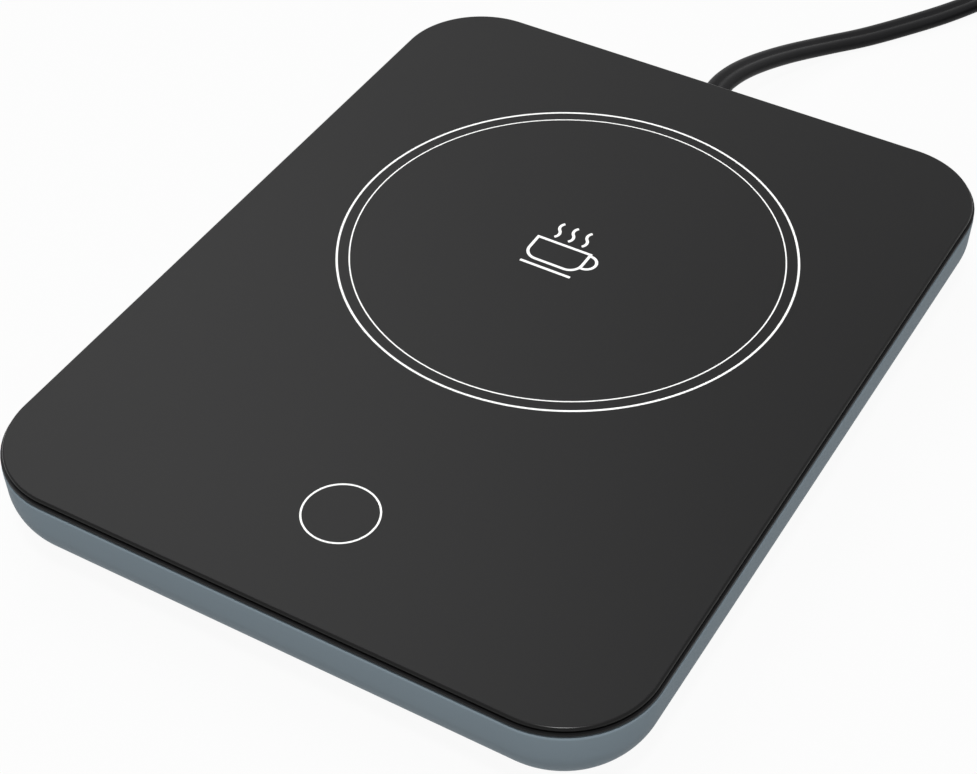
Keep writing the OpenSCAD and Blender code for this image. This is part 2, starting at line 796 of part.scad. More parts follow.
module base_shell() {
    cavity_w = shell_w - 2 * wall_t;
    cavity_l = shell_l - 2 * wall_t;
    cavity_belly = belly_r - wall_t;
    panel_w = 56;
    panel_l = 34;
    rib_t = 1.2;
    rib_h = 1.6;
    saddle_w = cord_w + 2;
    color(c_shell)
        difference() {
            union() {
                difference() {
                    slab(shell_w, shell_l, shell_r, concat(quarter_up(belly_r, wall_draft, shell_z),
                        quarter_in(rim_r, rim_z)));
                    slab(cavity_w, cavity_l, shell_r - wall_t,
                        concat(quarter_up(cavity_belly, wall_draft, floor_z), [[0, rim_z + 1]]));
                }
                at_posts() {
                    translate([0, 0, shell_z]) cylinder(d = pedestal_d, h = seat_z - shell_z);
                    translate([0, 0, shell_z]) cylinder(d = guide_d, h = guide_z - shell_z);
                }
                at_pillars()
                    translate([0, 0, floor_z - 1]) cylinder(d = pillar_d, h = pillar_h + 1);
                for (x = [-1, 1])
                    translate([cord_x + x * clamp_half, clamp_y, floor_z - 1])
                        cylinder(d = clamp_boss_d, h = cord_z - floor_z + 1);
                translate([cord_x - saddle_w / 2, clamp_y - rib_t, floor_z - 1])
                    cube([saddle_w, 2 * rib_t, cord_z - half_t - floor_z + 1 - hole_gap]);
                for (x = [-1, 1])
                    translate([x * board_w / 6 - rib_t / 2, ring_y - 40, floor_z - 1])
                        cube([rib_t, 70, rib_h + 1]);
                relief_collar();
            }
            at_posts() {
                translate([0, 0, shell_z - 1])
                    cylinder(d = foot_d + 2 * seat_gap, h = foot_pocket + 1);
                translate([0, 0, shell_z - 1]) cylinder(d = chamber_d, h = head_room + 1);
                translate([0, 0, shelf_z - 1]) cylinder(d = bore_d, h = guide_z - shelf_z + 2);
            }
            at_pillars()
                translate([0, 0, board_z - 3]) cylinder(d = screw_d + 2 * hole_gap, h = 4);
            for (x = [-1, 1])
                translate([cord_x + x * clamp_half, clamp_y, cord_z - 4.5])
                    cylinder(d = screw_d + 2 * hole_gap, h = 6);
            translate([cord_x, back_y - relief_in - 1, cord_z])
                rotate([-90, 0, 0]) cylinder(d = relief_d + 2 * hole_gap, h = relief_in + 5);
            translate([cord_x, stub_y - relief_flange_t, cord_z])
                rotate([-90, 0, 0])
                    cylinder(d = relief_flange_d + 2 * seat_gap, h = 2 * relief_flange_t);
            flat_slab(panel_w, panel_l, 4, shell_z - 1, panel_depth + 1);
        }
}

// Thick pad inside the back wall that the strain relief passes through
module relief_collar() {
    intersection() {
        slab(shell_w, shell_l, shell_r, concat(quarter_up(belly_r, wall_draft, shell_z),
            quarter_in(rim_r, rim_z - 2.8)));
        translate([cord_x, back_y - relief_in, cord_z])
            rotate([-90, 0, 0]) cylinder(d = relief_flange_d + 1, h = relief_in + 5);
    }
}

module rubber_feet() {
    foot_round = 0.4;
    h = foot_h + foot_pocket;
    color(c_rubber)
        at_posts()
            rotate_extrude()
                polygon([[0, 0], [foot_d / 2 - foot_round, 0], [foot_d / 2, foot_round],
                    [foot_d / 2, h], [0, h]]);
}

module return_springs() {
    color(c_steel)
        at_posts()
            translate([0, 0, seat_z + seat_gap])
                helix(spring_r, spring_wire, frame_z - seat_z - 2 * seat_gap, spring_turns);
}

module main_board() {
    color(c_board)
        difference() {
            translate([-board_w / 2, board_mid - board_l / 2, board_z])
                cube([board_w, board_l, board_t]);
            at_pillars() translate([0, 0, board_z - 1]) cylinder(d = screw_d + 0.2, h = board_t + 2);
            at_posts() translate([0, 0, board_z - 1]) cylinder(d = pedestal_d + 2 * board_gap, h = 4);
            switch_pins(switch_pin + 2 * wire_gap, board_z - 1, board_t + 2);
        }
}

module board_screws() {
    color(c_steel)
        at_pillars()
            translate([0, 0, deck_z])
                rotate([180, 0, 0]) screw(screw_d, board_t + 2.4, screw_head_d, screw_head_h);
}

// A box that sits on the main board, placed from the board's middle
module on_board(x, y, size) {
    translate([x - size[0] / 2, board_mid + y - size[1] / 2, deck_z]) cube(size);
}

module film_capacitor() {
    color([0.75, 0.7, 0.2]) on_board(-20, -6, [13, 9, 5.4]);
}

module smoothing_capacitor() {
    cap_d = 6.3;
    cap_len = 11;
    groove = 0.25;
    color([0.15, 0.2, 0.4])
        translate([6, board_mid - 2, deck_z + cap_d / 2])
            rotate([0, 90, 0])
                rotate_extrude()
                    polygon([[0, -cap_len / 2], [cap_d / 2, -cap_len / 2], [cap_d / 2, 3],
                        [cap_d / 2 - groove, 3.4], [cap_d / 2, 3.8], [cap_d / 2, cap_len / 2],
                        [0, cap_len / 2]]);
}

module heater_triac() {
    x = 22;
    body_l = 9;
    tab_l = 6;
    y = -2;
    tab_mid = y - (body_l + tab_l) / 2;
    color(c_part) on_board(x, y, [10, body_l, 4.4]);
    color(c_steel)
        difference() {
            on_board(x, tab_mid, [10, tab_l, 1.3]);
            translate([x, board_mid + tab_mid - 0.5, deck_z - 1]) cylinder(d = 3.6, h = 4);
        }
}

module board_fuse() {
    fuse_d = 3.6;
    color(c_steel)
        translate([-20, board_mid + 5, deck_z + fuse_d / 2])
            rotate([0, 90, 0]) {
                cylinder(d = fuse_d, h = 10, center = true);
                cylinder(d = 0.8, h = 15, center = true);
            }
}

module control_chip() {
    color(c_part) on_board(6, -13, [10, 4, 1.6]);
    color(c_steel)
        for (x = [-4:1.27:4]) on_board(6 + x, -13, [0.4, 6, 0.7]);
}

module board_connectors() {
    header_w = 7;
    color([0.92, 0.9, 0.85]) {
        for (x = [supply_x, outlet_x])
            on_board(x, plug_row_y - board_mid, [connector_w, connector_l, connector_h]);
        on_board(signal_x, plug_row_y - board_mid, [small_w, connector_l, small_h]);
        on_board(0, key_header_y, [header_w, 4, small_h]);
    }
}

module weight_switch() {
    plunger_room = plunger_flange_t + plate_travel + 0.9;
    color(c_part)
        translate([0, switch_y, deck_z])
            difference() {
                translate([-switch_w / 2, -switch_l / 2, 0]) cube([switch_w, switch_l, switch_h]);
                translate([0, 0, switch_h - 2])
                    cylinder(r = plunger_d / 2 + plunger_play, h = 4);
                translate([0, 0, switch_h - switch_lip - plunger_room])
                    cylinder(r = cavity_r, h = plunger_room);
                for (x = [-1, 1])
                    translate([x * 3.25, -switch_l, 2]) rotate([-90, 0, 0]) cylinder(d = 2, h = 12);
            }
    color(c_copper) switch_pins(switch_pin, board_z - 1, board_t + 1);
}

// The switch's three pins, or the holes for them
module switch_pins(w, z, h) {
    for (x = [-5, 0, 5]) translate([x - w / 2, switch_y - w / 2, z]) cube([w, w, h]);
}

module switch_plunger() {
    flange_top = deck_z + switch_h - switch_lip - stop_gap;
    color([0.85, 0.2, 0.15]) {
        translate([0, switch_y, flange_top]) cylinder(d = plunger_d, h = plunger_z - flange_top);
        translate([0, switch_y, flange_top - plunger_flange_t])
            cylinder(r = plunger_flange_r, h = plunger_flange_t);
    }
}

// ---- Wires inside ----

module supply_wires() {
    d = 1.8;
    for (s = [-1, 1])
        color(s < 0 ? c_part : [0.9, 0.9, 0.9])
            wire(concat([[cord_x + s * core_gap / 2, stub_y - stub_len - wire_gap, cord_z],
                [cord_x + s * core_gap / 2, stub_y - stub_len - end_run, cord_z]],
                [for (q = supply_route) q + [s * pair_gap, 0, 0]],
                [[supply_x + s * pair_gap, row_y + end_run, row_z],
                [supply_x + s * pair_gap, row_y, row_z]]), d, [0, 0, 1]);
}

module heater_wires() {
    tab_y = [for (x = tab_x) ring_y - sqrt(tab_r * tab_r - x * x)];
    tab_z = wool_z - wire_gap;
    fuse_end = cutout_len / 2 + cutout_lead + wire_gap;
    fuse_run = 2.5;
    side_x = cutout_x + fuse_end + fuse_run + lead_d;
    color([0.92, 0.9, 0.88]) {
        wire([[outlet_x - pair_gap, row_y, row_z], [outlet_x - pair_gap, row_y + end_run, row_z],
            [(outlet_x + tab_x[1]) / 2, tab_y[1] - fuse_run, (row_z + tab_z) / 2 - lead_d],
            [tab_x[1], tab_y[1], tab_z - fuse_run], [tab_x[1], tab_y[1], tab_z - lead_d / 2],
            [tab_x[1], tab_y[1], tab_z]], lead_d, [1, 0.2, 0]);
        wire([[outlet_x + pair_gap, row_y, row_z], [outlet_x + pair_gap, row_y + end_run, row_z],
            [side_x, (row_y + cutout_y) / 2, row_z], [side_x, cutout_y - end_run, cutout_z - lead_d / 2],
            [cutout_x + fuse_end + fuse_run, cutout_y, cutout_z],
            [cutout_x + fuse_end, cutout_y, cutout_z]], lead_d, [0, 0, 1]);
        wire([[cutout_x - fuse_end, cutout_y, cutout_z],
            [cutout_x - fuse_end - fuse_run, cutout_y, cutout_z],
            [tab_x[0] + lead_d, (cutout_y + tab_y[0]) / 2, cutout_z - lead_d / 2],
            [tab_x[0], tab_y[0] + lead_d, cutout_z - lead_d / 2],
            [tab_x[0], tab_y[0], tab_z - fuse_run], [tab_x[0], tab_y[0], tab_z]],
            lead_d, [0.3, 0.2, 0.1]);
    }
}

module sensor_wires() {
    d = 1;
    pair = 0.9;
    for (s = [-1, 1])
        color(s < 0 ? [0.75, 0.1, 0.1] : [0.9, 0.9, 0.9])
            wire(concat([[s * pair, ring_y, clamp_z - wire_gap],
                [s * pair, ring_y, ear_z - d]],
                [for (q = sensor_route) q + [s * pair, 0, 0]],
                [[signal_x + s * pair, row_y + end_run, small_row_z],
                [signal_x + s * pair, row_y, small_row_z]]), d, [1, 0.3, 0.2]);
}

// Flat cable from the key board down to the main board
module key_cable() {
    w = 5;
    t = 0.5;
    y = board_mid + key_header_y;
    high = frame_z - key_board_t - wire_gap;
    low = deck_z + small_h + wire_gap;
    mid = (high + low) / 2;
    y_high = key_mid + key_board_l / 2 - 2;
    color([0.85, 0.85, 0.85])
        translate([-w / 2, 0, 0])
            rotate([90, 0, 90])
                linear_extrude(w)
                    polygon([[y - t, low], [y, low], [y, mid - t], [y_high + t, mid + t],
                        [y_high + t, high], [y_high, high], [y_high, mid], [y - t, mid - 2 * t]]);
}

// ---- Cord at the shell ----

module inner_cord() {
    color(c_cord)
        translate([cord_x, stub_y - stub_len, cord_z])
            rotate([-90, 0, 0])
                linear_extrude(stub_len) {
                    for (x = [-1, 1]) translate([x * (half_w - half_t), 0]) circle(half_t);
                    square([cord_w - cord_t, cord_t * 0.8], center = true);
                }
}

module cord_clamp() {
    w = 2 * clamp_half + clamp_boss_d;
    groove_w = cord_w + 2 * seat_gap;
    groove_h = half_t + seat_gap;
    color(c_frame)
        difference() {
            translate([cord_x - w / 2, clamp_y - clamp_bar_l / 2, cord_z])
                cube([w, clamp_bar_l, clamp_bar_t]);
            translate([cord_x - groove_w / 2, clamp_y - clamp_bar_l, cord_z - 1])
                cube([groove_w, 2 * clamp_bar_l, groove_h + 1]);
            for (x = [-1, 1])
                translate([cord_x + x * clamp_half, clamp_y, cord_z - 1])
                    cylinder(d = screw_d + 0.2, h = clamp_bar_t + 2);
        }
}

module cord_clamp_screws() {
    color(c_steel)
        for (x = [-1, 1])
            translate([cord_x + x * clamp_half, clamp_y, cord_z + clamp_bar_t])
                rotate([180, 0, 0]) screw(screw_d, clamp_bar_t + 4, screw_head_d, screw_head_h);
}

// Moulded sleeve: a flange inside, a neck through the wall and a ribbed taper outside
module strain_relief() {
    neck = relief_flange_t + relief_in + 1;
    tip = tip_y - stub_y;
    taper = tip - neck - 2;
    rib_count = 3;
    rib_step = taper / rib_count;
    r0 = relief_d / 2;
    r1 = relief_tip_d / 2;
    color(c_cord)
        translate([cord_x, stub_y, cord_z])
            rotate([-90, 0, 0])
                rotate_extrude()
                    polygon(concat([[0, 0], [relief_flange_d / 2, 0],
                        [relief_flange_d / 2, relief_flange_t], [r0, relief_flange_t], [r0, neck]],
                        [for (i = [0:rib_count - 1], s = [[0, 0], [0.5, 0], [0.55, 0.5], [0.9, 0.5]])
                            [r0 + (r1 - r0) * (i + s[0]) / rib_count - s[1],
                                neck + rib_step * (i + s[0])]],
                        [[r1, tip], [0, tip]]));
}

// ---- Free cord ----

module cord_lead() {
    p = concat(lead_points, [lead_end - 3 * heading(coil_heading), lead_end]);
    color(c_cord) sweep(p, flat_section(half_w, half_t), lead_rolls, [0, 0, 1]);
}

coil_line = concat([lead_end, lead_end + cord_w / 2 * heading(coil_heading)],
    [for (i = [0:rings]) coil_point(turns * i / rings)],
    [tail_start + cord_w / 2 * heading(90), tail_start]);

module cord_coil() {
    color(c_cord)
        sweep(coil_line, edge_section(half_w, half_t), [for (q = coil_line) 90], [0, 0, 1]);
}

// Least gap between neighbouring turns, from the corners and side middles of their sections
coil_outline = [for (s = [edge_section(half_w, half_t)], i = [0:5])
    each [s[i], (s[i] + s[(i + 1) % 6]) / 2]];
coil_skin = [for (i = [0:len(coil_line) - 1])
    ring_at(coil_line[i], along(coil_line, i), coil_outline, 90, [0, 0, 1])];
coil_gap = min([for (i = [0:len(coil_line) - 1], j = [i + 12:1:len(coil_line) - 1])
    if (norm(coil_line[i] - coil_line[j]) < cord_w + 2)
        min([for (a = coil_skin[i], b = coil_skin[j]) norm(a - b)])]);
echo(coil_least_gap = coil_gap);

module coil_tie() {
    r_low = coil_radius((coil_start - tie_angle) / 360 + floor(turns / 2)) - half_t - 2 * tie_gap;
    r_high = coil_r + half_t + tie_gap;
    z_low = coil_z - half_w - tie_gap;
    z_high = coil_z + layer_h + half_w + tie_gap;
    w = r_high - r_low + 2 * tie_t;
    h = z_high - z_low + 2 * tie_t;
    color([0.2, 0.2, 0.2])
        translate([coil_x, coil_y, 0])
            rotate(tie_angle)
                translate([(r_low + r_high) / 2, 0, (z_low + z_high) / 2])
                    rotate([90, 0, 0])
                        translate([0, 0, -tie_w / 2])
                            slab_band(w, h, 2.4, tie_t, 0, tie_w);
}

module cord_tail() {
    p = concat([tail_start, tail_start - 3 * heading(90)], tail_points,
        [[plug_x, plug_y + cord_w, plug_z], [plug_x, plug_y, plug_z]]);
    color(c_cord) sweep(p, flat_section(half_w, half_t), tail_rolls, [0, 0, 1]);
}

module plug_body() {
    relief_y = plug_y - plug_relief_len;
    color(c_cord) {
        hull() {
            for (x = [-1, 1], z = [-1, 1])
                translate([plug_x + x * (plug_w / 2 - plug_edge), plug_front_y,
                    plug_z + z * (plug_h / 2 - plug_edge)])
                    rotate([-90, 0, 0]) cylinder(r = plug_edge, h = plug_len * 0.55, $fn = 32);
            for (x = [-1, 1])
                translate([plug_x + x * (plug_relief_w / 2 - 2), relief_y - 1, plug_z])
                    rotate([-90, 0, 0]) cylinder(r = plug_relief_h / 2, h = 1, $fn = 32);
        }
        hull() {
            for (x = [-1, 1])
                translate([plug_x + x * (plug_relief_w / 2 - 2), relief_y - 1, plug_z])
                    rotate([-90, 0, 0]) cylinder(r = plug_relief_h / 2 - 0.5, h = 1, $fn = 32);
            for (x = [-1, 1])
                translate([plug_x + x * (half_w - half_t), plug_y - 1, plug_z])
                    rotate([-90, 0, 0]) cylinder(r = half_t + 0.5, h = 1, $fn = 32);
        }
    }
}

module plug_blades() {
    hole_d = 3;
    hole_back = 3.2;
    color(c_steel)
        for (x = [-1, 1])
            translate([plug_x + x * blade_gap / 2, plug_front_y, plug_z])
                difference() {
                    translate([-blade_t / 2, -blade_len, -blade_w / 2])
                        cube([blade_t, blade_len, blade_w]);
                    translate([0, hole_back - blade_len, 0])
                        rotate([0, 90, 0]) cylinder(d = hole_d, h = 4, center = true);
                }
}

glass_plate();
ring_print();
cup_mark();
glass_adhesive();
top_frame();
heat_spreader();
heating_disc();
insulation_disc();
heater_clamp();
clamp_screws();
heat_sensor();
thermal_fuse();
key_board();
key_spring();
key_light_guide();
key_lights();
key_board_screws();
retaining_screws();
base_shell();
rubber_feet();
return_springs();
main_board();
film_capacitor();
smoothing_capacitor();
heater_triac();
board_fuse();
control_chip();
board_connectors();
board_screws();
weight_switch();
switch_plunger();
supply_wires();
heater_wires();
sensor_wires();
key_cable();
inner_cord();
cord_clamp();
cord_clamp_screws();
strain_relief();
cord_lead();
cord_coil();
coil_tie();
cord_tail();
plug_body();
plug_blades();
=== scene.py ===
"""Looks of an electric mug warmer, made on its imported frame.

Shapes are worked out in millimetres, as in the part's source: X along the front edge, Y to the
back, Z up, feet on Z = 0. piece() turns them into metres.
"""

import math

import bmesh
import bpy
import numpy as np
from bpy.props import FloatProperty, FloatVectorProperty, IntProperty, PointerProperty
from mathutils import Matrix, Vector
from mathutils.geometry import delaunay_2d_cdt


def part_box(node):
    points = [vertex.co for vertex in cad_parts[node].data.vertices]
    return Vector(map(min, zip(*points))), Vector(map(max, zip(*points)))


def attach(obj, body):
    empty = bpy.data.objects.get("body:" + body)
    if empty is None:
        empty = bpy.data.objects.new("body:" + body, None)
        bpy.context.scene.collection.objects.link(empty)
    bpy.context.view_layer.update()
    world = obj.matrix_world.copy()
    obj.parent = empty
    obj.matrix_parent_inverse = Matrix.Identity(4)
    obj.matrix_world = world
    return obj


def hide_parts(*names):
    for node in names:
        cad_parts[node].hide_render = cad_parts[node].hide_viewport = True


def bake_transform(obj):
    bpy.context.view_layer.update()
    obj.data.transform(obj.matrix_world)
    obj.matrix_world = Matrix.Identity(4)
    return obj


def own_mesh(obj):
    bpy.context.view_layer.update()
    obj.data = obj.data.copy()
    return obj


bl_info = {
    "name": "Mug Warmer",
    "version": (1, 0, 0),
    "blender": (4, 5, 0),
    "location": "View3D > Sidebar > Warmer",
    "description": "Dresses the frame of an electric mug warmer",
    "category": "Object",
}

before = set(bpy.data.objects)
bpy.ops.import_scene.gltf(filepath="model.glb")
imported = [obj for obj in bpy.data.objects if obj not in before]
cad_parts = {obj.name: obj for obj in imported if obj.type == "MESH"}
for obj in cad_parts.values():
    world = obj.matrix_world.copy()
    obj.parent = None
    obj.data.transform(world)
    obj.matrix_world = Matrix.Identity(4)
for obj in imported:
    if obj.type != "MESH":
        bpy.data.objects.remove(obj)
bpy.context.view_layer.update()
MM = 1000.0  # millimetres in a metre
GLASS_LOW, GLASS_HIGH = (np.array(corner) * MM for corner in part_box("glass_plate"))
SHELL_LOW, SHELL_HIGH = (np.array(corner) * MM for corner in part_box("base_shell"))

# Where the cord passes the back wall, and where the plug's axis lies, in millimetres.
CORD_X, CORD_Z = -4.0, 9.0
PLUG_X, PLUG_Z = 116.5, 5.55

# The camera that fits the photograph: its focal length and the width of its sensor in
# millimetres, its place in metres, and its directions to the right, up and back.
CAMERA_LENS, CAMERA_SENSOR = 80.2, 36.0
CAMERA_PLACE = (0.15613, -0.2746, 0.29965)
CAMERA_AXES = ((0.86375, 0.50387, -0.00641), (-0.34307, 0.59733, 0.72491),
               (0.36909, -0.62394, 0.68881))

WHITE = (1, 1, 1, 1)


# ---- Settings ----

def length(name, description, default):
    """A size in millimetres, kept as a length in metres."""
    return FloatProperty(name=name, description=description, default=default / MM, min=0.0,
                         subtype="DISTANCE", unit="LENGTH", precision=5)


def colour(name, description, default):
    """A colour, in linear values."""
    return FloatVectorProperty(name=name, description=description, default=default, size=3,
                               min=0.0, max=1.0, subtype="COLOR")


class PlateSettings(bpy.types.PropertyGroup):
    """Sizes of the glass top and its print"""
    corner: length("Corner radius", "Radius of the glass's corners", 18.05)
    edge: length("Edge rounding", "Rounding along the glass's top edge", 0.5)
    ring_y: length("Mug area", "Centre of the mug area, behind the middle", 20.7)
    ring_r: length("Outer ring", "Radius of the outer printed ring", 46.0)
    ring_line: length("Outer line", "Line width of the outer ring", 0.45)
    inner_r: length("Inner ring", "Radius of the inner printed ring", 43.5)
    inner_line: length("Inner line", "Line width of the inner ring", 0.28)
    key_y: length("Touch key", "Centre of the touch key, in front of the middle", 62.1)
    key_r: length("Key ring", "Radius of the ring round the touch key", 7.1)
    key_line: length("Key line", "Line width of the key's ring", 0.38)
    ink: length("Ink", "Height of the raised ink", 0.04)


class ShellSettings(bpy.types.PropertyGroup):
    """Sizes of the moulded base"""
    corner: length("Corner radius", "Radius of the shell's corners", 18.55)
    belly: length("Belly radius", "Radius between the wall and the floor", 12.0)
    draft: length("Draft", "How far the wall leans in", 0.2)
    rim: length("Rim rounding", "Rounding of the rim's outer edge", 0.6)
    wall: length("Wall", "Thickness of the walls", 2.0)
    floor: length("Floor", "Thickness of the floor", 2.2)
    foot: length("Foot", "Diameter of a foot", 13.0)
    post_x: length("Post X", "Sideways place of the guide posts", 44.0)
    post_y: length("Post Y", "Place of the guide posts along the length", 64.15)


class CordSettings(bpy.types.PropertyGroup):
    """Sizes of the power cord, its coil and its plug"""
    width: length("Width", "Width of the flat two-core cord", 5.65)
    thickness: length("Thickness", "Thickness of the cord", 2.9)
    groove: length("Groove", "Depth of the groove between the cores", 0.42)
    coil_x: length("Coil X", "Sideways place of the coil's centre", 79.5)
    coil_y: length("Coil Y", "Place of the coil's centre towards the back", 175.5)
    coil_z: length("Coil Z", "Height of the lower layer's middle", 3.875)
    coil_r: length("Coil radius", "Radius of the coil's outer turn", 37.0)
    coil_step: length("Coil step", "Step between neighbouring turns", 3.8)
    layer: length("Layer", "Height of one layer of the coil", 6.2)
    coil_start: FloatProperty(name="Coil start", description="Where the cord joins the coil",
                              default=math.radians(140), subtype="ANGLE", unit="ROTATION")
    turns: IntProperty(name="Turns", description="Whole turns of the coil", default=5, min=1)


class ColourSettings(bpy.types.PropertyGroup):
    """Colours of the finishes that show"""
    plate: colour("Glass top", "Back-painted glass", (0.005, 0.005, 0.0052))
    shell: colour("Base", "Moulded base", (0.226, 0.281, 0.32))
    ink: colour("Print", "White print on the glass", (0.9, 0.9, 0.89))
    cord: colour("Cord", "Jacket of the cord and plug", (0.0055, 0.0055, 0.006))
    floor: colour("Floor", "Studio floor", (0.5, 0.5, 0.5))


class StudioSettings(bpy.types.PropertyGroup):
    """Strength of the studio light"""
    sky: FloatProperty(name="Surround", description="Light from all round", default=0.28, min=0.0)
    key: FloatProperty(name="Key lamp", description="Watts of the lamp over the front corner",
                       default=9.0, min=0.0)
    back: FloatProperty(name="Back lamp", description="Watts of the lamp behind on the left",
                        default=9.0, min=0.0)
    shadow: FloatProperty(name="Shadow", description="How much of the shadow the floor shows",
                          default=0.06, min=0.0, max=1.0)


# ---- Shapes ----

def heading(angle):
    """Unit vector in the floor's plane at an angle in radians: (cos a, sin a, 0)."""
    return np.array([math.cos(angle), math.sin(angle), 0.0])


def circle(radius, steps):
    """Points of a circle: radius times (cos a, sin a), a going once round."""
    a = np.linspace(0, 2 * np.pi, steps, endpoint=False)
    return radius * np.stack([np.cos(a), np.sin(a)], -1)


def outline(w, l, r, steps):
    """Round-cornered rectangle: a quarter circle of radius r about each corner's centre, joined
    by straight sides. Gives the points and the outward direction at each."""
    a = np.radians(np.linspace(0, 90, steps + 1) + np.array([[0], [90], [180], [270]]))
    out = np.stack([np.cos(a), np.sin(a)], -1)
    mid = np.array([[1, 1], [-1, 1], [-1, -1], [1, -1]]) * [w / 2 - r, l / 2 - r]
    return (mid[:, None] + r * out).reshape(-1, 2), out.reshape(-1, 2)


def arc(a0, a1, steps):
    """Angles in radians from a0 to a1 degrees."""
    return np.radians(np.linspace(a0, a1, steps + 1))


def eased(u):
    """A smooth step: 0 below u = 0, 1 above u = 1, and 3u^2 - 2u^3 between."""
    u = np.clip(u, 0, 1)
    return u * u * (3 - 2 * u)


def grooves(y, start, end, pitch, depth, gain):
    """Depth of round-sided grooves between start and end: depth times the part of
    gain sin(2 pi (y - start) / pitch) that lies between 0 and 1."""
    wave = depth * np.clip(gain * np.sin(2 * np.pi * (y - start) / pitch), 0, 1)
    return wave * ((y > start) & (y < end))


def carried(line, profile):
    """A profile of (distance in, height) pairs carried round an outline: each ring is the
    outline's points moved in along their outward directions, set at that height."""
    points, out = line
    inset, height = np.asarray(profile, float).T
    flat = points[None] - inset[:, None, None] * out[None]
    return np.concatenate([flat, np.broadcast_to(height[:, None, None],
                                                 (*flat.shape[:2], 1))], -1)


def turned(profile, steps, centre=(0, 0)):
    """A profile of (radius, height) pairs turned about an upright axis: x = r cos a,
    y = r sin a, z = height."""
    r, z = np.asarray(profile, float).T
    ring = circle(1, steps)
    flat = r[:, None, None] * ring[None] + np.asarray(centre, float)
    return np.concatenate([flat, np.broadcast_to(z[:, None, None], (*flat.shape[:2], 1))], -1)


def lying(rings, x, z):
    """Rings turned about an upright axis, laid so that their axis runs along Y at (x, z)."""
    return np.stack([x + rings[..., 0], rings[..., 2], z - rings[..., 1]], -1)


def curve(points, n):
    """Smooth curve through points. Between b and c, with a before and d after, it is
    b + (c-a)t/2 + (2a-5b+4c-d)t^2/2 + (3b-a-3c+d)t^3/2; the first and last stretches are
    straight. Further columns, such as a roll, are carried along."""
    p = np.asarray(points, float)
    a, b, c, d = p[:-3], p[1:-2], p[2:-1], p[3:]
    t = np.linspace(0, 1, n, endpoint=False)[:, None, None]
    q = (b + (c - a) * t / 2 + (2 * a - 5 * b + 4 * c - d) * t ** 2 / 2
         + (3 * b - a - 3 * c + d) * t ** 3 / 2)
    return np.vstack([p[:1], q.transpose(1, 0, 2).reshape(-1, p.shape[1]), p[-2:]])


def unit(v):
    """Each vector divided by its length."""
    return v / np.linalg.norm(v, axis=-1, keepdims=True)


def swept(path, section, rolls=0.0, ref=(0, 0, 1)):
    """A section of (across, up) pairs carried along a path. Across is the path's direction
    crossed with ref, and both turn about the path by the roll in degrees."""
    step = np.vstack([path[1:2] - path[:1], path[2:] - path[:-2], path[-1:] - path[-2:-1]])
    d = unit(step)
    s = unit(np.cross(d, np.asarray(ref, float)))
    u = np.cross(s, d)
    roll = np.radians(np.broadcast_to(rolls, len(path)))[:, None]
    across, up = np.cos(roll) * s + np.sin(roll) * u, np.cos(roll) * u - np.sin(roll) * s
    return (path[:, None] + section[None, :, :1] * across[:, None]
            + section[None, :, 1:] * up[:, None])


def skin(rings, ends="closed"):
    """Faces over a stack of closed rings, turned outwards. ends is closed, where a point in the
    middle of the first and last ring closes them, or joined, where the last ring meets the
    first, or open."""
    rows, cols = rings.shape[:2]
    i = np.arange(rows if ends == "joined" else rows - 1)[:, None]
    j = np.arange(cols)[None]
    nxt, up = (j + 1) % cols, (i + 1) % rows
    quads = np.stack([i * cols + j, i * cols + nxt, up * cols + nxt, up * cols + j],
                     -1).reshape(-1, 4)
    points, tris = rings.reshape(-1, 3), np.zeros((0, 3), int)
    if ends == "closed":
        first, last = len(points), len(points) + 1
        points = np.vstack([points, rings[0].mean(0), rings[-1].mean(0)])
        row, top, ahead = np.arange(cols), (rows - 1) * cols, (np.arange(cols) + 1) % cols
        tris = np.vstack([np.stack([ahead, row, np.full(cols, first)], -1),
                          np.stack([top + row, top + ahead, np.full(cols, last)], -1)])
    if ends != "open" and volume(points, quads, tris) < 0:
        quads, tris = quads[:, ::-1], tris[:, ::-1]
    return points, quads, tris


def volume(points, quads, tris):
    """Six times the volume inside a closed surface: the sum of a . (b x c) over its triangles."""
    t = np.vstack([quads[:, :3], quads[:, [0, 2, 3]], tris])
    a, b, c = (points[t[:, k]] for k in range(3))
    return float((a * np.cross(b, c)).sum())


def joined(shapes):
    """Several shapes as one set of points and faces."""
    at, points, quads, tris = 0, [], [], []
    for p, q, t in shapes:
        points.append(p)
        quads.append(q + at)
        tris.append(t + at)
        at += len(p)
    return np.vstack(points), np.vstack(quads), np.vstack(tris)


def moved(shape, offset):
    """A shape moved by an offset."""
    return shape[0] + np.asarray(offset, float), shape[1], shape[2]


def block(low, high, r):
    """A bar between two corners, its upright edges and top edge rounded by r."""
    low, high = np.array(low, float), np.array(high, float)
    w, l, h = high - low
    a = arc(0, 90, 3)
    round_top = np.stack([r * (1 - np.cos(a)), h - r * (1 - np.sin(a))], -1)
    rings = carried(outline(w, l, r * 1.01, 3), [[0, 0], *round_top])
    return moved(skin(rings), [*(low + high)[:2] / 2, low[2]])


def boss(x, y, r, high, hole_low, hole_r=1.02, low=3.0, bevel=0.2):
    """A round pillar with a blind hole in its top, as one turned profile."""
    return skin(turned([[r, low], [r, high - bevel], [r - bevel, high], [hole_r, high],
                        [hole_r, hole_low]], 32, (x, y)))


def within(points, loop):
    """Whether each point is inside a convex loop that runs anticlockwise: it is to the left of
    every side, (b - a) x (p - a) > 0."""
    side, to = np.roll(loop, -1, 0) - loop, points[:, None] - loop
    return (side[:, 0] * to[..., 1] - side[:, 1] * to[..., 0] > 0).all(1)


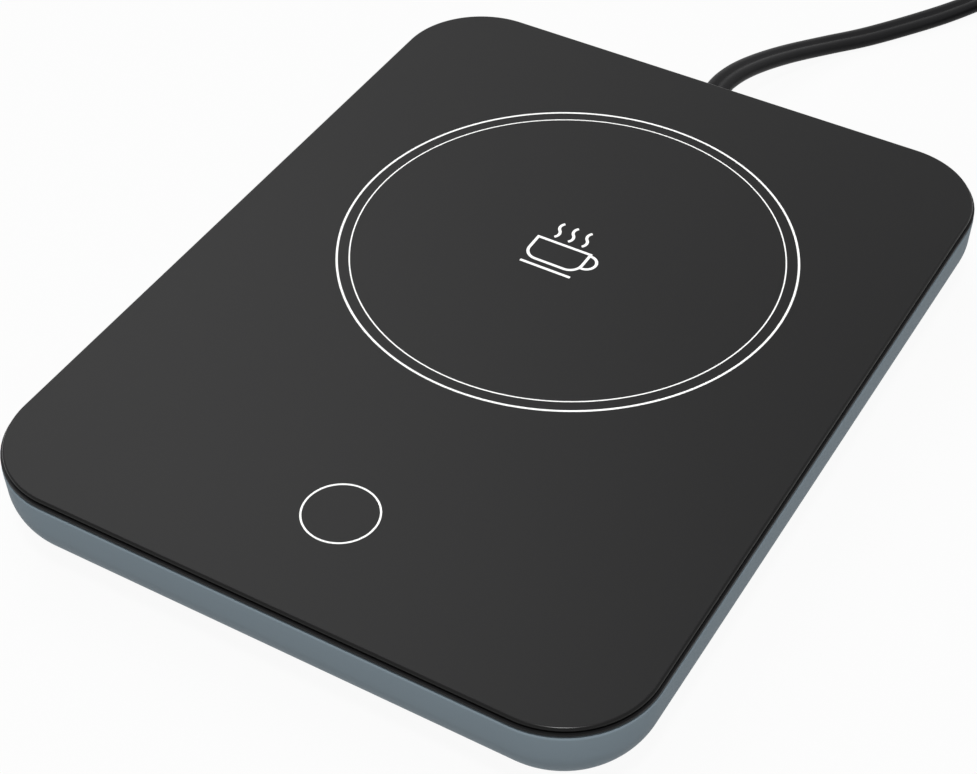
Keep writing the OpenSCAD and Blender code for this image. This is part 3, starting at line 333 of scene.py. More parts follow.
def flat_sheet(loops, height):
    """The flat area inside the first loop and outside the others, which are convex holes, as
    triangles at a height: those whose middle is within a hole are left out."""
    points = np.vstack(loops)
    edges, at = [], 0
    for loop in loops:
        edges += [(at + k, at + (k + 1) % len(loop)) for k in range(len(loop))]
        at += len(loop)
    triangles_inside, near = 1, 1e-5
    made = delaunay_2d_cdt([Vector(p) for p in points], edges, [], triangles_inside, near)
    flat, tris = np.array([(p.x, p.y) for p in made[0]]), np.array(made[2], int)
    middle = flat[tris].mean(1)
    for hole in loops[1:]:
        tris, middle = (held[~within(middle, hole)] for held in (tris, middle))
    return np.column_stack([flat, np.full(len(flat), height)]), np.zeros((0, 4), int), tris


def twin_section(width, thickness, groove):
    """Flat two-core cord: two half circles joined by sides whose height is
    h = t/2 - groove cos^4(pi x / 2c), c being how far a core's middle is from the centre."""
    r, steps = thickness / 2, 8
    c = width / 2 - r
    a = arc(-90, 90, steps)[:-1]
    right = np.stack([c + r * np.cos(a), r * np.sin(a)], -1)
    x = np.linspace(c, -c, steps, endpoint=False)
    top = np.stack([x, r - groove * np.cos(np.pi * x / (2 * c)) ** 4], -1)
    half = np.vstack([right, top])
    return np.vstack([half, -half])


def helix(r, wire, height, turns, low):
    """A coil spring: the wire's middle at angle a is (r cos a, r sin a, z), z rising evenly
    except in the first and last half turns, which lie flat."""
    t = np.linspace(0, turns, turns * 24 + 1)
    z = low + wire / 2 + (height - wire) * np.clip((t - 0.5) / (turns - 1), 0, 1)
    a = 2 * np.pi * t
    line = np.stack([r * np.cos(a), r * np.sin(a), z], -1)
    return skin(swept(line, circle(wire / 2, 10)))


# ---- Pieces ----

def piece(name, shape, body, slot, replaces=(), finishes=(), sharp=35, merge=False):
    """A mesh of one shape in millimetres, put in metres, shaded smooth but for its sharp edges,
    that rides on a body and stands for the CAD nodes it replaces. It takes its slot's finish if
    it is given no others."""
    points, quads, tris = shape
    mesh = bpy.data.meshes.new(name)
    mesh.from_pydata(points / MM, [], quads.tolist() + tris.tolist())
    if merge:
        work = bmesh.new()
        work.from_mesh(mesh)
        bmesh.ops.remove_doubles(work, verts=work.verts, dist=2e-6)
        bmesh.ops.recalc_face_normals(work, faces=work.faces)
        work.to_mesh(mesh)
        work.free()
    mesh.validate()
    mesh.shade_smooth()
    mesh.set_sharp_from_angle(angle=math.radians(sharp))
    for held in finishes or [slot_finish(slot)]:
        mesh.materials.append(held)
    made = bpy.data.objects.new(name, mesh)
    bpy.context.scene.collection.objects.link(made)
    if body:
        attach(made, body)
    if replaces:
        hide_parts(*replaces)
    return made


def post_places():
    """The middle of each of the four guide posts, seen from above."""
    s = bpy.context.scene.warmer_shell
    return [np.array([x * s.post_x, y * s.post_y]) * MM for x in (-1, 1) for y in (-1, 1)]


def at_posts(shape):
    """Copies of a shape at the four guide posts."""
    return joined([moved(shape, [*place, 0]) for place in post_places()])


# ---- Finishes ----

def add(tree, kind, inputs=(), **settings):
    """Adds a node, sets what it is given and links the inputs that are sockets."""
    made = tree.nodes.new(kind)
    for key, value in settings.items():
        setattr(made, key, value)
    for key, value in dict(inputs).items():
        if isinstance(value, bpy.types.NodeSocket):
            tree.links.new(value, made.inputs[key])
        else:
            made.inputs[key].default_value = value
    return made


def group(name, ins, outs):
    """An empty node group with its named sockets, or the one that is already made."""
    found = bpy.data.node_groups.get(name)
    if found:
        return found, None, None
    tree = bpy.data.node_groups.new(name, "ShaderNodeTree")
    for label, kind, value in ins:
        socket = tree.interface.new_socket(label, in_out="INPUT", socket_type=kind)
        socket.default_value = value
    for label, kind in outs:
        tree.interface.new_socket(label, in_out="OUTPUT", socket_type=kind)
    return tree, tree.nodes.new("NodeGroupInput"), tree.nodes.new("NodeGroupOutput")


FLOAT, COLOUR = "NodeSocketFloat", "NodeSocketColor"


def moulded_grain():
    """Node group: the fine grain of moulded plastic, as a height."""
    tree, start, end = group("Moulded grain", [("Scale", FLOAT, 2000.0)], [("Height", FLOAT)])
    if start:
        place = add(tree, "ShaderNodeTexCoord").outputs["Object"]
        scale = start.outputs["Scale"]
        soft = add(tree, "ShaderNodeTexNoise",
                   {"Vector": place, "Scale": scale, "Detail": 4.0, "Roughness": 0.6})
        cells = add(tree, "ShaderNodeTexVoronoi", {"Vector": place, "Scale": scale})
        height = add(tree, "ShaderNodeMath", {0: soft.outputs["Fac"],
                                              1: cells.outputs["Distance"]},
                     operation="MULTIPLY")
        tree.links.new(height.outputs[0], end.inputs["Height"])
    return tree


def tone_drift():
    """Node group: a colour and a roughness that drift a little over the surface."""
    tree, start, end = group(
        "Tone drift", [("Colour", COLOUR, WHITE), ("Roughness", FLOAT, 0.5),
                       ("Spread", FLOAT, 0.1), ("Scale", FLOAT, 40.0)],
        [("Colour", COLOUR), ("Roughness", FLOAT)])
    if start:
        place = add(tree, "ShaderNodeTexCoord").outputs["Object"]
        cloud = add(tree, "ShaderNodeTexNoise", {"Vector": place, "Scale": start.outputs["Scale"],
                                                 "Detail": 3.0}).outputs["Fac"]
        swing = add(tree, "ShaderNodeMath", {0: cloud, 1: -0.5}, operation="ADD")
        swing = add(tree, "ShaderNodeMath", {0: swing.outputs[0], 1: start.outputs["Spread"]},
                    operation="MULTIPLY")
        gain = add(tree, "ShaderNodeMath", {0: swing.outputs[0], 1: 1.0}, operation="ADD")
        tone = add(tree, "ShaderNodeVectorMath", {0: start.outputs["Colour"],
                                                  1: gain.outputs[0]}, operation="MULTIPLY")
        rough = add(tree, "ShaderNodeMath", {0: start.outputs["Roughness"], 1: gain.outputs[0]},
                    operation="MULTIPLY")
        tree.links.new(tone.outputs[0], end.inputs["Colour"])
        tree.links.new(rough.outputs[0], end.inputs["Roughness"])
    return tree


def drawn_lines():
    """Node group: long fine lines along X, as on rolled or brushed metal."""
    tree, start, end = group("Drawn lines", [("Scale", FLOAT, 300.0)], [("Height", FLOAT)])
    if start:
        place = add(tree, "ShaderNodeTexCoord").outputs["Object"]
        drawn = add(tree, "ShaderNodeMapping", {"Vector": place, "Scale": (1.0, 30.0, 30.0)})
        lines = add(tree, "ShaderNodeTexNoise", {"Vector": drawn.outputs[0],
                                                 "Scale": start.outputs["Scale"],
                                                 "Detail": 2.0})
        tree.links.new(lines.outputs["Fac"], end.inputs["Height"])
    return tree


def finish(name, colour, roughness, metallic=0.0, grain=2000.0, depth=0.01, drift=0.12,
           drift_scale=60.0, lines=False, **sockets):
    """A material: a drifting tone and roughness, and a bump of depth millimetres from the
    moulded grain or the drawn lines. Other sockets of the shader are set by name."""
    made = bpy.data.materials.get(name)
    if made:
        return made
    made = bpy.data.materials.new(name)
    made.use_nodes = True
    tree = made.node_tree
    shader = tree.nodes["Principled BSDF"]
    tone = add(tree, "ShaderNodeGroup", node_tree=tone_drift())
    for label, value in (("Colour", (*colour, 1)), ("Roughness", roughness), ("Spread", drift),
                         ("Scale", drift_scale)):
        tone.inputs[label].default_value = value
    tree.links.new(tone.outputs["Colour"], shader.inputs["Base Color"])
    tree.links.new(tone.outputs["Roughness"], shader.inputs["Roughness"])
    shader.inputs["Metallic"].default_value = metallic
    rough = add(tree, "ShaderNodeGroup", node_tree=drawn_lines() if lines else moulded_grain())
    rough.inputs["Scale"].default_value = grain
    bump = add(tree, "ShaderNodeBump", {"Height": rough.outputs["Height"], "Strength": 1.0,
                                        "Distance": depth / MM})
    tree.links.new(bump.outputs[0], shader.inputs["Normal"])
    for label, value in sockets.items():
        shader.inputs[label.replace("_", " ")].default_value = value
    return made


def marked(name, ground, mark, roughness, scale, cut, stretch=(1.0, 1.0, 1.0),
           distance="EUCLIDEAN", test="LESS_THAN", **more):
    """A finish with marks of a second colour, where the distance to the nearest point of a cell
    pattern is on one side of a cut. Chebychev distance gives squares, and a flat stretch bands."""
    made = finish(name, ground, roughness, **more)
    tree = made.node_tree
    base = tree.nodes["Principled BSDF"].inputs["Base Color"]
    tone = base.links[0].from_socket
    if tone.node.type != "GROUP":
        return made
    place = add(tree, "ShaderNodeTexCoord").outputs["Object"]
    drawn = add(tree, "ShaderNodeMapping", {"Vector": place, "Scale": stretch})
    cells = add(tree, "ShaderNodeTexVoronoi", {"Vector": drawn.outputs[0], "Scale": scale},
                distance=distance)
    mask = add(tree, "ShaderNodeMath", {0: cells.outputs["Distance"], 1: cut}, operation=test)
    mixed = add(tree, "ShaderNodeMix", {"Factor": mask.outputs[0], "A": tone,
                                        "B": (*mark, 1)}, data_type="RGBA")
    tree.links.new(mixed.outputs["Result"], base)
    return made


def slot_finish(slot):
    """The material that stands for one of the record's slots."""
    c = bpy.context.scene.warmer_colours
    drawn = {"metallic": 1.0, "lines": True}
    plain = {
        "glass_top": lambda: finish("Painted glass", c.plate, 0.42, grain=2600.0, depth=0.0004,
                                    drift=0.05, drift_scale=25.0, Specular_IOR_Level=0.125),
        "white_print": lambda: finish("White print", c.ink, 0.5, grain=4000.0, depth=0.003,
                                      drift=0.05),
        "adhesive": lambda: finish("Adhesive tape", (0.03, 0.03, 0.03), 0.7, grain=1200.0),
        "black_frame": lambda: finish("Frame plastic", (0.009, 0.009, 0.0095), 0.45,
                                      grain=1800.0, depth=0.006, Specular_IOR_Level=0.08),
        "spreader_metal": lambda: finish("Spreader metal", (0.78, 0.79, 0.8), 0.34,
                                         grain=260.0, depth=0.004, **drawn),
        "mica": lambda: marked("Mica", (0.42, 0.3, 0.13), (0.6, 0.5, 0.3), 0.4, scale=500.0,
                               cut=0.3, grain=800.0),
        "insulation": lambda: marked("Insulation wool", (0.74, 0.7, 0.6), (0.82, 0.8, 0.74),
                                     0.95, scale=900.0, cut=0.3, grain=1500.0, depth=0.2),
        "steel": lambda: finish("Plated steel", (0.6, 0.61, 0.63), 0.3, grain=500.0,
                                depth=0.002, **drawn),
        "fuse_metal": lambda: finish("Fuse metal", (0.72, 0.7, 0.66), 0.28, grain=400.0,
                                     depth=0.002, **drawn),
        "circuit_board": lambda: marked("Circuit board", (0.012, 0.085, 0.035),
                                        (0.03, 0.16, 0.06), 0.35, scale=420.0, cut=0.42,
                                        stretch=(1.0, 1.0, 0.0), distance="CHEBYCHEV",
                                        test="GREATER_THAN", grain=900.0, depth=0.006),
        "copper": lambda: finish("Copper", (0.72, 0.36, 0.18), 0.3, grain=400.0, depth=0.002,
                                 **drawn),
        "diffuser": lambda: finish("Light diffuser", (0.8, 0.8, 0.78), 0.55, depth=0.005),
        "lights": lambda: finish("Light bodies", (0.85, 0.78, 0.45), 0.3, depth=0.002),
        "shell_plastic": lambda: finish("Base plastic", c.shell, 0.5, grain=1500.0,
                                        depth=0.004, drift=0.05, drift_scale=30.0,
                                        Specular_IOR_Level=0.05),
        "foot_rubber": lambda: finish("Foot rubber", (0.014, 0.014, 0.014), 0.8, grain=2500.0,
                                      depth=0.02),
        "spring_steel": lambda: finish("Spring steel", (0.55, 0.56, 0.58), 0.32,
                                       metallic=1.0, grain=900.0, depth=0.003),
        "film_yellow": lambda: finish("Capacitor film", (0.62, 0.42, 0.05), 0.35, depth=0.004),
        "capacitor_sleeve": lambda: finish("Capacitor sleeve", (0.02, 0.04, 0.14), 0.3,
                                           depth=0.003),
        "component_black": lambda: finish("Component black", (0.015, 0.015, 0.016), 0.55,
                                          grain=3000.0, depth=0.008),
        "connector_plastic": lambda: finish("Connector plastic", (0.75, 0.72, 0.64), 0.45,
                                            depth=0.004),
        "plunger_red": lambda: finish("Plunger plastic", (0.55, 0.03, 0.02), 0.4, depth=0.003),
        "wire_cover": lambda: finish("Wire cover", (0.7, 0.69, 0.66), 0.5, depth=0.004),
        "cord_jacket": lambda: finish("Cord jacket", c.cord, 0.42, grain=1600.0, depth=0.006,
                                      drift=0.2, drift_scale=80.0, Specular_IOR_Level=0.12),
        "tie_black": lambda: finish("Tie strap", (0.02, 0.02, 0.02), 0.75, grain=1400.0,
                                    depth=0.05),
        "plug_metal": lambda: finish("Plug blades", (0.66, 0.62, 0.52), 0.26, grain=350.0,
                                     depth=0.002, **drawn),
    }
    return plain[slot]()


# ---- Operators ----

class WARMER_OT_stage(bpy.types.Operator):
    """Camera at the photograph's angle, pale floor, plain lamps and surround"""
    bl_idname = "warmer.stage"
    bl_label = "Camera, floor and light"

    def execute(self, context):
        scene = context.scene
        scene.view_settings.view_transform = "Standard"
        self.camera(scene)
        self.floor(scene)
        self.lamps(scene)
        self.surround(scene)
        return {"FINISHED"}

    def camera(self, scene):
        """Camera at its place, turned to its own directions."""
        lens = bpy.data.cameras.new("camera")
        lens.lens, lens.sensor_width = CAMERA_LENS, CAMERA_SENSOR
        lens.clip_start, lens.clip_end = 0.01, 20.0
        made = bpy.data.objects.new("camera", lens)
        turn = Matrix(CAMERA_AXES).transposed().to_quaternion().to_matrix().to_4x4()
        made.matrix_world = Matrix.Translation(CAMERA_PLACE) @ turn
        scene.collection.objects.link(made)
        scene.camera = made

    def floor(self, scene):
        """Square floor 8 m across, a tenth of a millimetre below the feet."""
        reach, height = 4.0, -0.0001
        side = reach * np.array([[-1, -1], [1, -1], [1, 1], [-1, 1]])
        mesh = bpy.data.meshes.new("studio_floor")
        mesh.from_pydata(np.column_stack([side, np.full(4, height)]), [], [(0, 1, 2, 3)])
        floor = bpy.data.objects.new("studio_floor", mesh)
        scene.collection.objects.link(floor)
        mesh.materials.append(self.floor_finish(scene))

    def lamps(self, scene):
        """Two round lamps that face the object."""
        studio = scene.warmer_studio
        for name, place, size, watts in (
                ("key_lamp", (0.2, -0.354, 1.112), 0.18, studio.key),
                ("back_lamp", (-0.64, 0.42, 1.08), 1.0, studio.back)):
            lamp = bpy.data.lights.new(name, "AREA")
            lamp.shape, lamp.size, lamp.energy = "DISK", size, watts
            holder = bpy.data.objects.new(name, lamp)
            holder.location = place
            holder.rotation_euler = (-Vector(place)).to_track_quat("-Z", "Y").to_euler()
            scene.collection.objects.link(holder)

    def surround(self, scene):
        """White where it is seen or reflected, and dimmer as a light."""
        world = bpy.data.worlds.new("studio")
        scene.world = world
        world.use_nodes = True
        tree = world.node_tree
        level = add(tree, "ShaderNodeMapRange", {"Value": self.seen(tree), "To Max": 1.0,
                                                 "To Min": scene.warmer_studio.sky})
        ground = tree.nodes["Background"]
        tree.links.new(level.outputs[0], ground.inputs["Strength"])
        ground.inputs["Color"].default_value = WHITE

    @staticmethod
    def seen(tree):
        """1 for a ray from the camera, a reflection or a clear piece, and 0 for other light."""
        path = add(tree, "ShaderNodeLightPath")
        either = add(tree, "ShaderNodeMath", {0: path.outputs["Is Camera Ray"],
                                              1: path.outputs["Is Glossy Ray"]},
                     operation="MAXIMUM")
        return add(tree, "ShaderNodeMath", {0: either.outputs[0],
                                            1: path.outputs["Is Transmission Ray"]},
                   operation="MAXIMUM").outputs[0]

    def floor_finish(self, scene):
        """White where it is seen, with a part of the shadow kept; plain pale to other light;
        clear from below, so that the underside can be looked at."""
        made = bpy.data.materials.new("Studio floor")
        made.use_nodes = True
        tree = made.node_tree
        tree.nodes.remove(tree.nodes["Principled BSDF"])
        tone = (*scene.warmer_colours.floor, 1)
        matt = add(tree, "ShaderNodeBsdfDiffuse", {"Color": tone}).outputs[0]
        glow = add(tree, "ShaderNodeEmission", {"Color": WHITE}).outputs[0]
        shown = add(tree, "ShaderNodeMixShader", {0: scene.warmer_studio.shadow, 1: glow,
                                                  2: matt}).outputs[0]
        lit = add(tree, "ShaderNodeMixShader", {0: self.seen(tree), 1: matt, 2: shown})
        under = add(tree, "ShaderNodeMixShader", {
            0: add(tree, "ShaderNodeNewGeometry").outputs["Backfacing"], 1: lit.outputs[0],
            2: add(tree, "ShaderNodeBsdfTransparent").outputs[0]})
        tree.links.new(under.outputs[0], tree.nodes["Material Output"].inputs["Surface"])
        return made


class WARMER_OT_cord(bpy.types.Operator):
    """Flat two-core cord: the stretch in sight, its coil, and the tail to the plug"""
    bl_idname = "warmer.cord"
    bl_label = "Power cord"

    def execute(self, context):
        s = context.scene.warmer_cord
        w, straight = s.width * MM, 3
        coil = self.coil(s)
        way_in, way_out = (np.append(heading(s.coil_start - math.pi / 2), 0),
                           np.append(heading(math.pi / 2), 0))
        lead_end, tail_start = coil[0] - w * way_in, coil[-1] - w * way_out
        # Each point is x, y, z and the roll in degrees.
        lead = [[CORD_X, 95.5, CORD_Z, 0], [CORD_X, 98, CORD_Z, 0], [-3.95, 103, 8.8, 0],
                [-3, 109.5, 8, 0], [-1, 117, 6.6, 0], [2.25, 125.75, 4.75, 0],
                [7.35, 135.85, 2.75, 0], [13, 144.4, 1.7, 0], [19, 153, 1.5, 0],
                [25.5, 162.8, 1.5, 0], [31, 171.8, 1.8, 8], [36, 179.7, 2.3, 32],
                [41, 187, 3.1, 62], lead_end - straight * way_in, lead_end]
        tail = [tail_start, tail_start - straight * way_out, [PLUG_X, 158, 7.8, 60],
                [PLUG_X, 148, 5.8, 25], [PLUG_X, 140, 5.5, 0], [PLUG_X, 133.65, PLUG_Z, 0],
                [PLUG_X, 128, PLUG_Z, 0]]
        line = np.vstack([curve(lead, 6), lead_end + w / 2 * way_in, coil,
                          tail_start + w / 2 * way_out, curve(tail, 6)])
        section = twin_section(w, s.thickness * MM, s.groove * MM)
        path = line[:, :3]
        free = piece("power_cord", skin(swept(path, section, line[:, 3])), "base",
                     "cord_jacket", ["cord_lead", "cord_coil", "cord_tail"])
        self.on_cord(s)
        inner = np.array([[CORD_X, y, CORD_Z] for y in (62.2, 68, 75.2)])
        piece("inner_cord_end", skin(swept(inner, section)), "base", "cord_jacket",
              ["inner_cord"])
        return {"FINISHED"}

    def coil(self, s):
        """Points of the coil with their roll: on edge, in on the lower layer and out on the
        upper one. After t of T turns the radius is R - step min(t, T - t), and the height rises
        by a layer in a smooth step over the half turn in the middle."""
        turns = s.turns + s.coil_start / (2 * math.pi)
        t = np.linspace(0, turns, int(turns * 72) + 1)
        lift = eased(2 * (t - turns / 2) + 0.5)
        radius = s.coil_r * MM - s.coil_step * MM * np.minimum(t, turns - t)
        a = s.coil_start - 2 * np.pi * t
        on_edge = np.full_like(t, 90.0)
        return np.stack([s.coil_x * MM + radius * np.cos(a), s.coil_y * MM + radius * np.sin(a),
                         s.coil_z * MM + s.layer * MM * lift, on_edge], -1)

    def on_cord(self, s):
        """The pieces that go with the cord: strain relief, tie, plug body and blades."""
        relief = piece("strain_relief_sleeve", self.relief(), "base", "cord_jacket",
                       ["strain_relief"])
        tie = piece("coil_strap", self.strap(s), "base", "tie_black", ["coil_tie"])
        plug = piece("plug_moulding", self.plug(), "base", "cord_jacket", ["plug_body"])
        return [relief, tie, plug, "plug_blades"]

    def relief(self):
        """Sleeve turned about the cord: radius falls evenly from 4.3 to 3.3 mm over the taper,
        less 0.5 mm in three grooves with rounded sides."""
        wide, start, end, tip_r, bevel = 4.3, 87.7, 94.8, 0.7, 0.3
        y = np.linspace(0, 1, 121)
        wave = np.clip(2.4 * np.sin(2 * np.pi * (3 * y - 0.38)), -1, 1)
        r = wide - y - 0.25 * (1 - wave) * np.clip(12 * y, 0, 1) * np.clip(8 * (1 - y), 0, 1)
        taper = np.stack([r, start + (end - start) * y], -1)
        a = arc(0, 90, 5)
        tip = np.stack([wide - 1 - tip_r * (1 - np.cos(a)), end + tip_r * np.sin(a)], -1)
        flange_r, inside, outside = 5.0, 75.2, 76.7
        flange = [[flange_r - bevel, inside], [flange_r, inside + bevel],
                  [flange_r, outside - bevel], [flange_r - bevel, outside],
                  [wide, outside], [wide, 82.0]]
        return skin(lying(turned([*flange, *taper, *tip], 48), CORD_X, CORD_Z))

    def strap(self, s):
        """A band 6 mm wide and 0.8 mm thick carried round the bundle's round-cornered outline,
        which stands in the upright plane through the coil's centre at 60 degrees. near and far
        are the distances of the bundle's sides from that centre."""
        near, far, low, h = 26.706, 38.65, 0.85, 13.85
        thick, half, r = 0.8, 3, 0.25
        w = far - near + 2 * thick
        turn = [[r * (1 - np.sin(x)), half - r * (1 - np.cos(x))] for x in arc(0, 90, 3)[::-1]]
        rim = [[0, r - half], [0, half - r], *turn[1:], [thick - r, half], [thick, half - r],
               [thick, r - half], [thick - r, -half], [r, -half]]
        rings = carried(outline(w, h, 2.4, 8), rim)
        out, side = heading(math.radians(60)), heading(math.radians(150))
        mid = (np.array([s.coil_x, s.coil_y, 0]) * MM + (near + far) / 2 * out
               + [0, 0, low - thick + h / 2])
        points = (mid + rings[..., :1] * out + rings[..., 1:2] * [0, 0, 1]
                  + rings[..., 2:] * side)
        return skin(points, "joined")

    def plug(self):
        """Round-cornered sections along Y of half width a and half height b: a rounded front,
        a grip with grooves at its sides, drawn in behind, then a tapering grooved relief."""
        front, back, nose, lip = 90, 128, 1.2, 0.3
        y = np.concatenate([front + nose * (1 - np.cos(arc(0, 90, 6))),
                            np.linspace(91.6, back - lip, 150),
                            back - lip + lip * np.sin(arc(15, 90, 3))])
        ahead = np.clip((front + nose - y) / nose, 0, 1)
        draw = eased((y - 101.5) / 10)
        taper = np.clip((y - 112) / 16, 0, 1)
        round_off = nose * (1 - np.sqrt(1 - ahead ** 2))
        a = 12 - round_off - 6.4 * draw - 2.2 * taper
        b = 5.5 - round_off - 2.3 * draw - 1.2 * taper
        relief = grooves(y, 113.2, 126.2, pitch=2.9, depth=0.35, gain=2.2)
        grip = grooves(y, 94, 101.6, pitch=1.9, depth=0.3, gain=2)
        end = np.clip((back - y) / lip, 0, 1)
        close = 0.4 * (1 - np.sqrt(1 - (1 - end) ** 2))
        a, b = a - relief - grip - close, b - relief - close
        corner = np.minimum(np.minimum(3 + 0.3 * draw, b * 0.98), a)
        k = np.radians(np.linspace(0, 90, 9) + np.array([[0], [90], [180], [270]])).reshape(-1)
        sx, sz = (np.repeat(v, 9) for v in ((1, -1, -1, 1), (1, 1, -1, -1)))
        x = sx * (a - corner)[:, None] + corner[:, None] * np.cos(k)
        z = sz * (b - corner)[:, None] + corner[:, None] * np.sin(k)
        return skin(np.stack([PLUG_X + x, np.broadcast_to(y[:, None], x.shape), PLUG_Z + z], -1))


class WARMER_OT_glass_top(bpy.types.Operator):
    """Glass plate with its rounded edge, and the printed rings on it"""
    bl_idname = "warmer.glass_top"
    bl_label = "Glass top"

    def execute(self, context):
        s = context.scene.warmer_plate
        w, l, _ = GLASS_HIGH - GLASS_LOW
        low, high, r = GLASS_LOW[2], GLASS_HIGH[2], s.edge * MM
        just_under = high - 0.02
        a = arc(0, 90, 10)
        side = [[5, low], [0.4, low], [0.1, low], [0, low + 0.1],
                *np.stack([r * (1 - np.cos(a)), high - r * (1 - np.sin(a))], -1),
                [r + 0.1, high], [r + 0.5, high], [r + 4, high], [r + 10, high]]
        rings = carried(outline(w, l, s.corner * MM, 32), side)
        # The edge faces get a copy of the glass finish with a base colour ten times darker. This
        # is painted shade, standing for the dark surround that the edge reflects. The copy is also
        # glossier, so it catches the key lamp's glint.
        edge = finish("Glass edge with painted shade", (0.0005, 0.0005, 0.0005), 0.24, grain=2600.0,
                      depth=0.0002, drift=0.05, Specular_IOR_Level=0.2)
        plate = piece("glass_top", skin(rings), "top_plate", "glass_top", ["glass_plate"],
                      [slot_finish("glass_top"), edge])
        # Faces below the top take the second finish, the edge with painted shade.
        heights = np.array([p.center.z for p in plate.data.polygons]) * MM
        plate.data.polygons.foreach_set("material_index",
                                        (heights < just_under).astype(np.int32))

        def line(radius, width, y):
            """A printed line: a flat band with rounded shoulders, turned about its centre."""
            b, t = width / 2, s.ink * MM
            c = arc(0, 90, 4)
            right = np.stack([b - t * (1 - np.cos(c)), t * np.sin(c)], -1)
            across = np.vstack([right, right[::-1] * [-1, 1]])
            return skin(turned(across + [radius, high], 240, (0, y)), "joined")
        rings = [line(s.ring_r * MM, s.ring_line * MM, s.ring_y * MM),
                 line(s.inner_r * MM, s.inner_line * MM, s.ring_y * MM),
                 line(s.key_r * MM, s.key_line * MM, -s.key_y * MM)]
        piece("printed_rings", joined(rings), "top_plate", "white_print", ["ring_print"])
        return {"FINISHED"}


class WARMER_OT_shell(bpy.types.Operator):
    """Moulded base: walls, floor with its foot pockets and panel, posts, pillars and ribs"""
    bl_idname = "warmer.shell"
    bl_label = "Base shell"

    def execute(self, context):
        s = context.scene.warmer_shell
        self.walls(s)
        self.bosses()
        self.feet(s)
        return {"FINISHED"}

    def walls(self, s):
        """Walls, floor, sunk panel and the columns that guide the posts, as one closed surface
        with an open screw hole in each column."""
        w, l, _ = SHELL_HIGH - SHELL_LOW
        low, rim = SHELL_LOW[2], SHELL_HIGH[2]
        belly, draft, edge, wall, floor = (v * MM for v in (s.belly, s.draft, s.rim, s.wall,
                                                            s.floor))
        line = outline(w, l, s.corner * MM, 32)
        a, b, c = arc(0, 90, 28), arc(0, 90, 6), arc(90, 0, 20)
        inner, flat_in, bevel = belly - wall, draft + belly + 0.5, 0.1
        side = [[flat_in, low],
                *np.stack([draft + belly * (1 - np.sin(a)), low + belly * (1 - np.cos(a))], -1),
                *np.stack([edge * (1 - np.cos(b)), rim - edge * (1 - np.sin(b))], -1),
                [edge + bevel, rim], [wall - bevel, rim], [wall, rim - bevel],
                *np.stack([wall + draft + inner * (1 - np.sin(c)),
                           low + floor + inner * (1 - np.cos(c))], -1),
                [flat_in, low + floor]]
        flat = line[0] - flat_in * line[1]

        panel, depth = outline(56, 34, 4, 12), 0.3
        sunk = carried(panel, [[0, low], [0, low + depth - bevel], [bevel, low + depth],
                               [1, low + depth]])
        pocket, pocket_top = s.foot / 2 * MM + 0.1, low + 0.5
        head_r, head_top, bore_r, bevel = 3.8, 6.4, 2.55, 0.2
        tube_r, tube_top, seat_r, seat_top = 3.95, 14.0, 6.5, 8.0
        column = [[pocket, low], [pocket, pocket_top], [head_r, pocket_top], [head_r, head_top],
                  [bore_r, head_top], [bore_r, tube_top - bevel], [bore_r + bevel, tube_top],
                  [tube_r - bevel, tube_top], [tube_r, tube_top - bevel],
                  [tube_r, seat_top + 0.3], [tube_r + 0.3, seat_top],
                  [seat_r - bevel, seat_top], [seat_r, seat_top - bevel], [seat_r, low + floor]]
        posts = post_places()
        shapes = [skin(carried(line, side), "open"),
                  flat_sheet([flat, panel[0], *(p + circle(pocket, 48) for p in posts)], low),
                  flat_sheet([flat, *(p + circle(seat_r, 48) for p in posts)], low + floor),
                  skin(sunk, "open"), flat_sheet([sunk[-1][:, :2]], low + depth)]
        shapes += [skin(turned(column, 48, p), "open") for p in posts]
        piece("shell_walls", joined(shapes), "base", "shell_plastic", ["base_shell"], sharp=30,
              merge=True)

    def bosses(self):
        """Pillars of the main board, the cord clamp's bosses and the stop between them, two ribs
        and the pad about the strain relief. They start inside the floor."""
        board_y, inside, r = -54.0, 3.0, 0.3
        both = (-1, 1)
        shapes = [boss(x * 32, board_y + y * 18, r=2.5, high=5.9, hole_low=3.3)
                  for x in both for y in both]
        shapes += [boss(CORD_X + x * 8, 68.2, r=2.7, high=CORD_Z, hole_low=4.5) for x in both]
        shapes += [block([x * 12 - 0.6, -19.3, inside], [x * 12 + 0.6, 50.7, 5.0], r)
                   for x in both]
        shapes.append(block([CORD_X - 3.825, 67.0, inside], [CORD_X + 3.825, 69.4, 7.53], r))
        shapes.append(self.relief_pad())
        piece("shell_bosses", joined(shapes), "base", "shell_plastic")

    def feet(self, s):
        """Four rubber feet in their pockets, each with three ring grooves in its face."""
        top, d, r, bevel = SHELL_LOW[2] + 0.5, s.foot / 2 * MM, 0.4, 0.1
        face = [[d - r + r * np.cos(x), r + r * np.sin(x)] for x in arc(-90, 0, 6)]
        lines = [[ring + out, z] for ring in (2.0, 3.6, 5.2)
                 for out, z in ((-0.25, 0), (-0.12, 0.15), (0.12, 0.15), (0.25, 0))]
        pad = [[0.8, 0], *lines, *face, [d, top - bevel], [d - bevel, top], [1, top]]
        piece("foot_pads", at_posts(skin(turned(pad, 48))), "base", "foot_rubber",
              ["rubber_feet"])

    def relief_pad(self):
        """Round pad inside the back wall about the strain relief. Its outer end follows the
        wall's curve from half a millimetre inside: y = c + sqrt(b^2 - (t - z)^2), b being the
        belly's radius, t its top and c its middle."""
        ring = circle(1, 48)
        belly, top, middle = 12, 13.2, 74.0
        hole_r, pad_r, start = 4.32, 5.5, 76.8

        def end(r, y=None):
            z = CORD_Z + r * ring[:, 1]
            wall = middle + np.sqrt(belly ** 2 - np.clip(top - z, 0, belly) ** 2)
            return np.stack([CORD_X + r * ring[:, 0], np.full(48, y) if y else wall, z], -1)
        return skin(np.stack([end(hole_r, start), end(pad_r, start), end(pad_r), end(hole_r)]),
                    "joined")


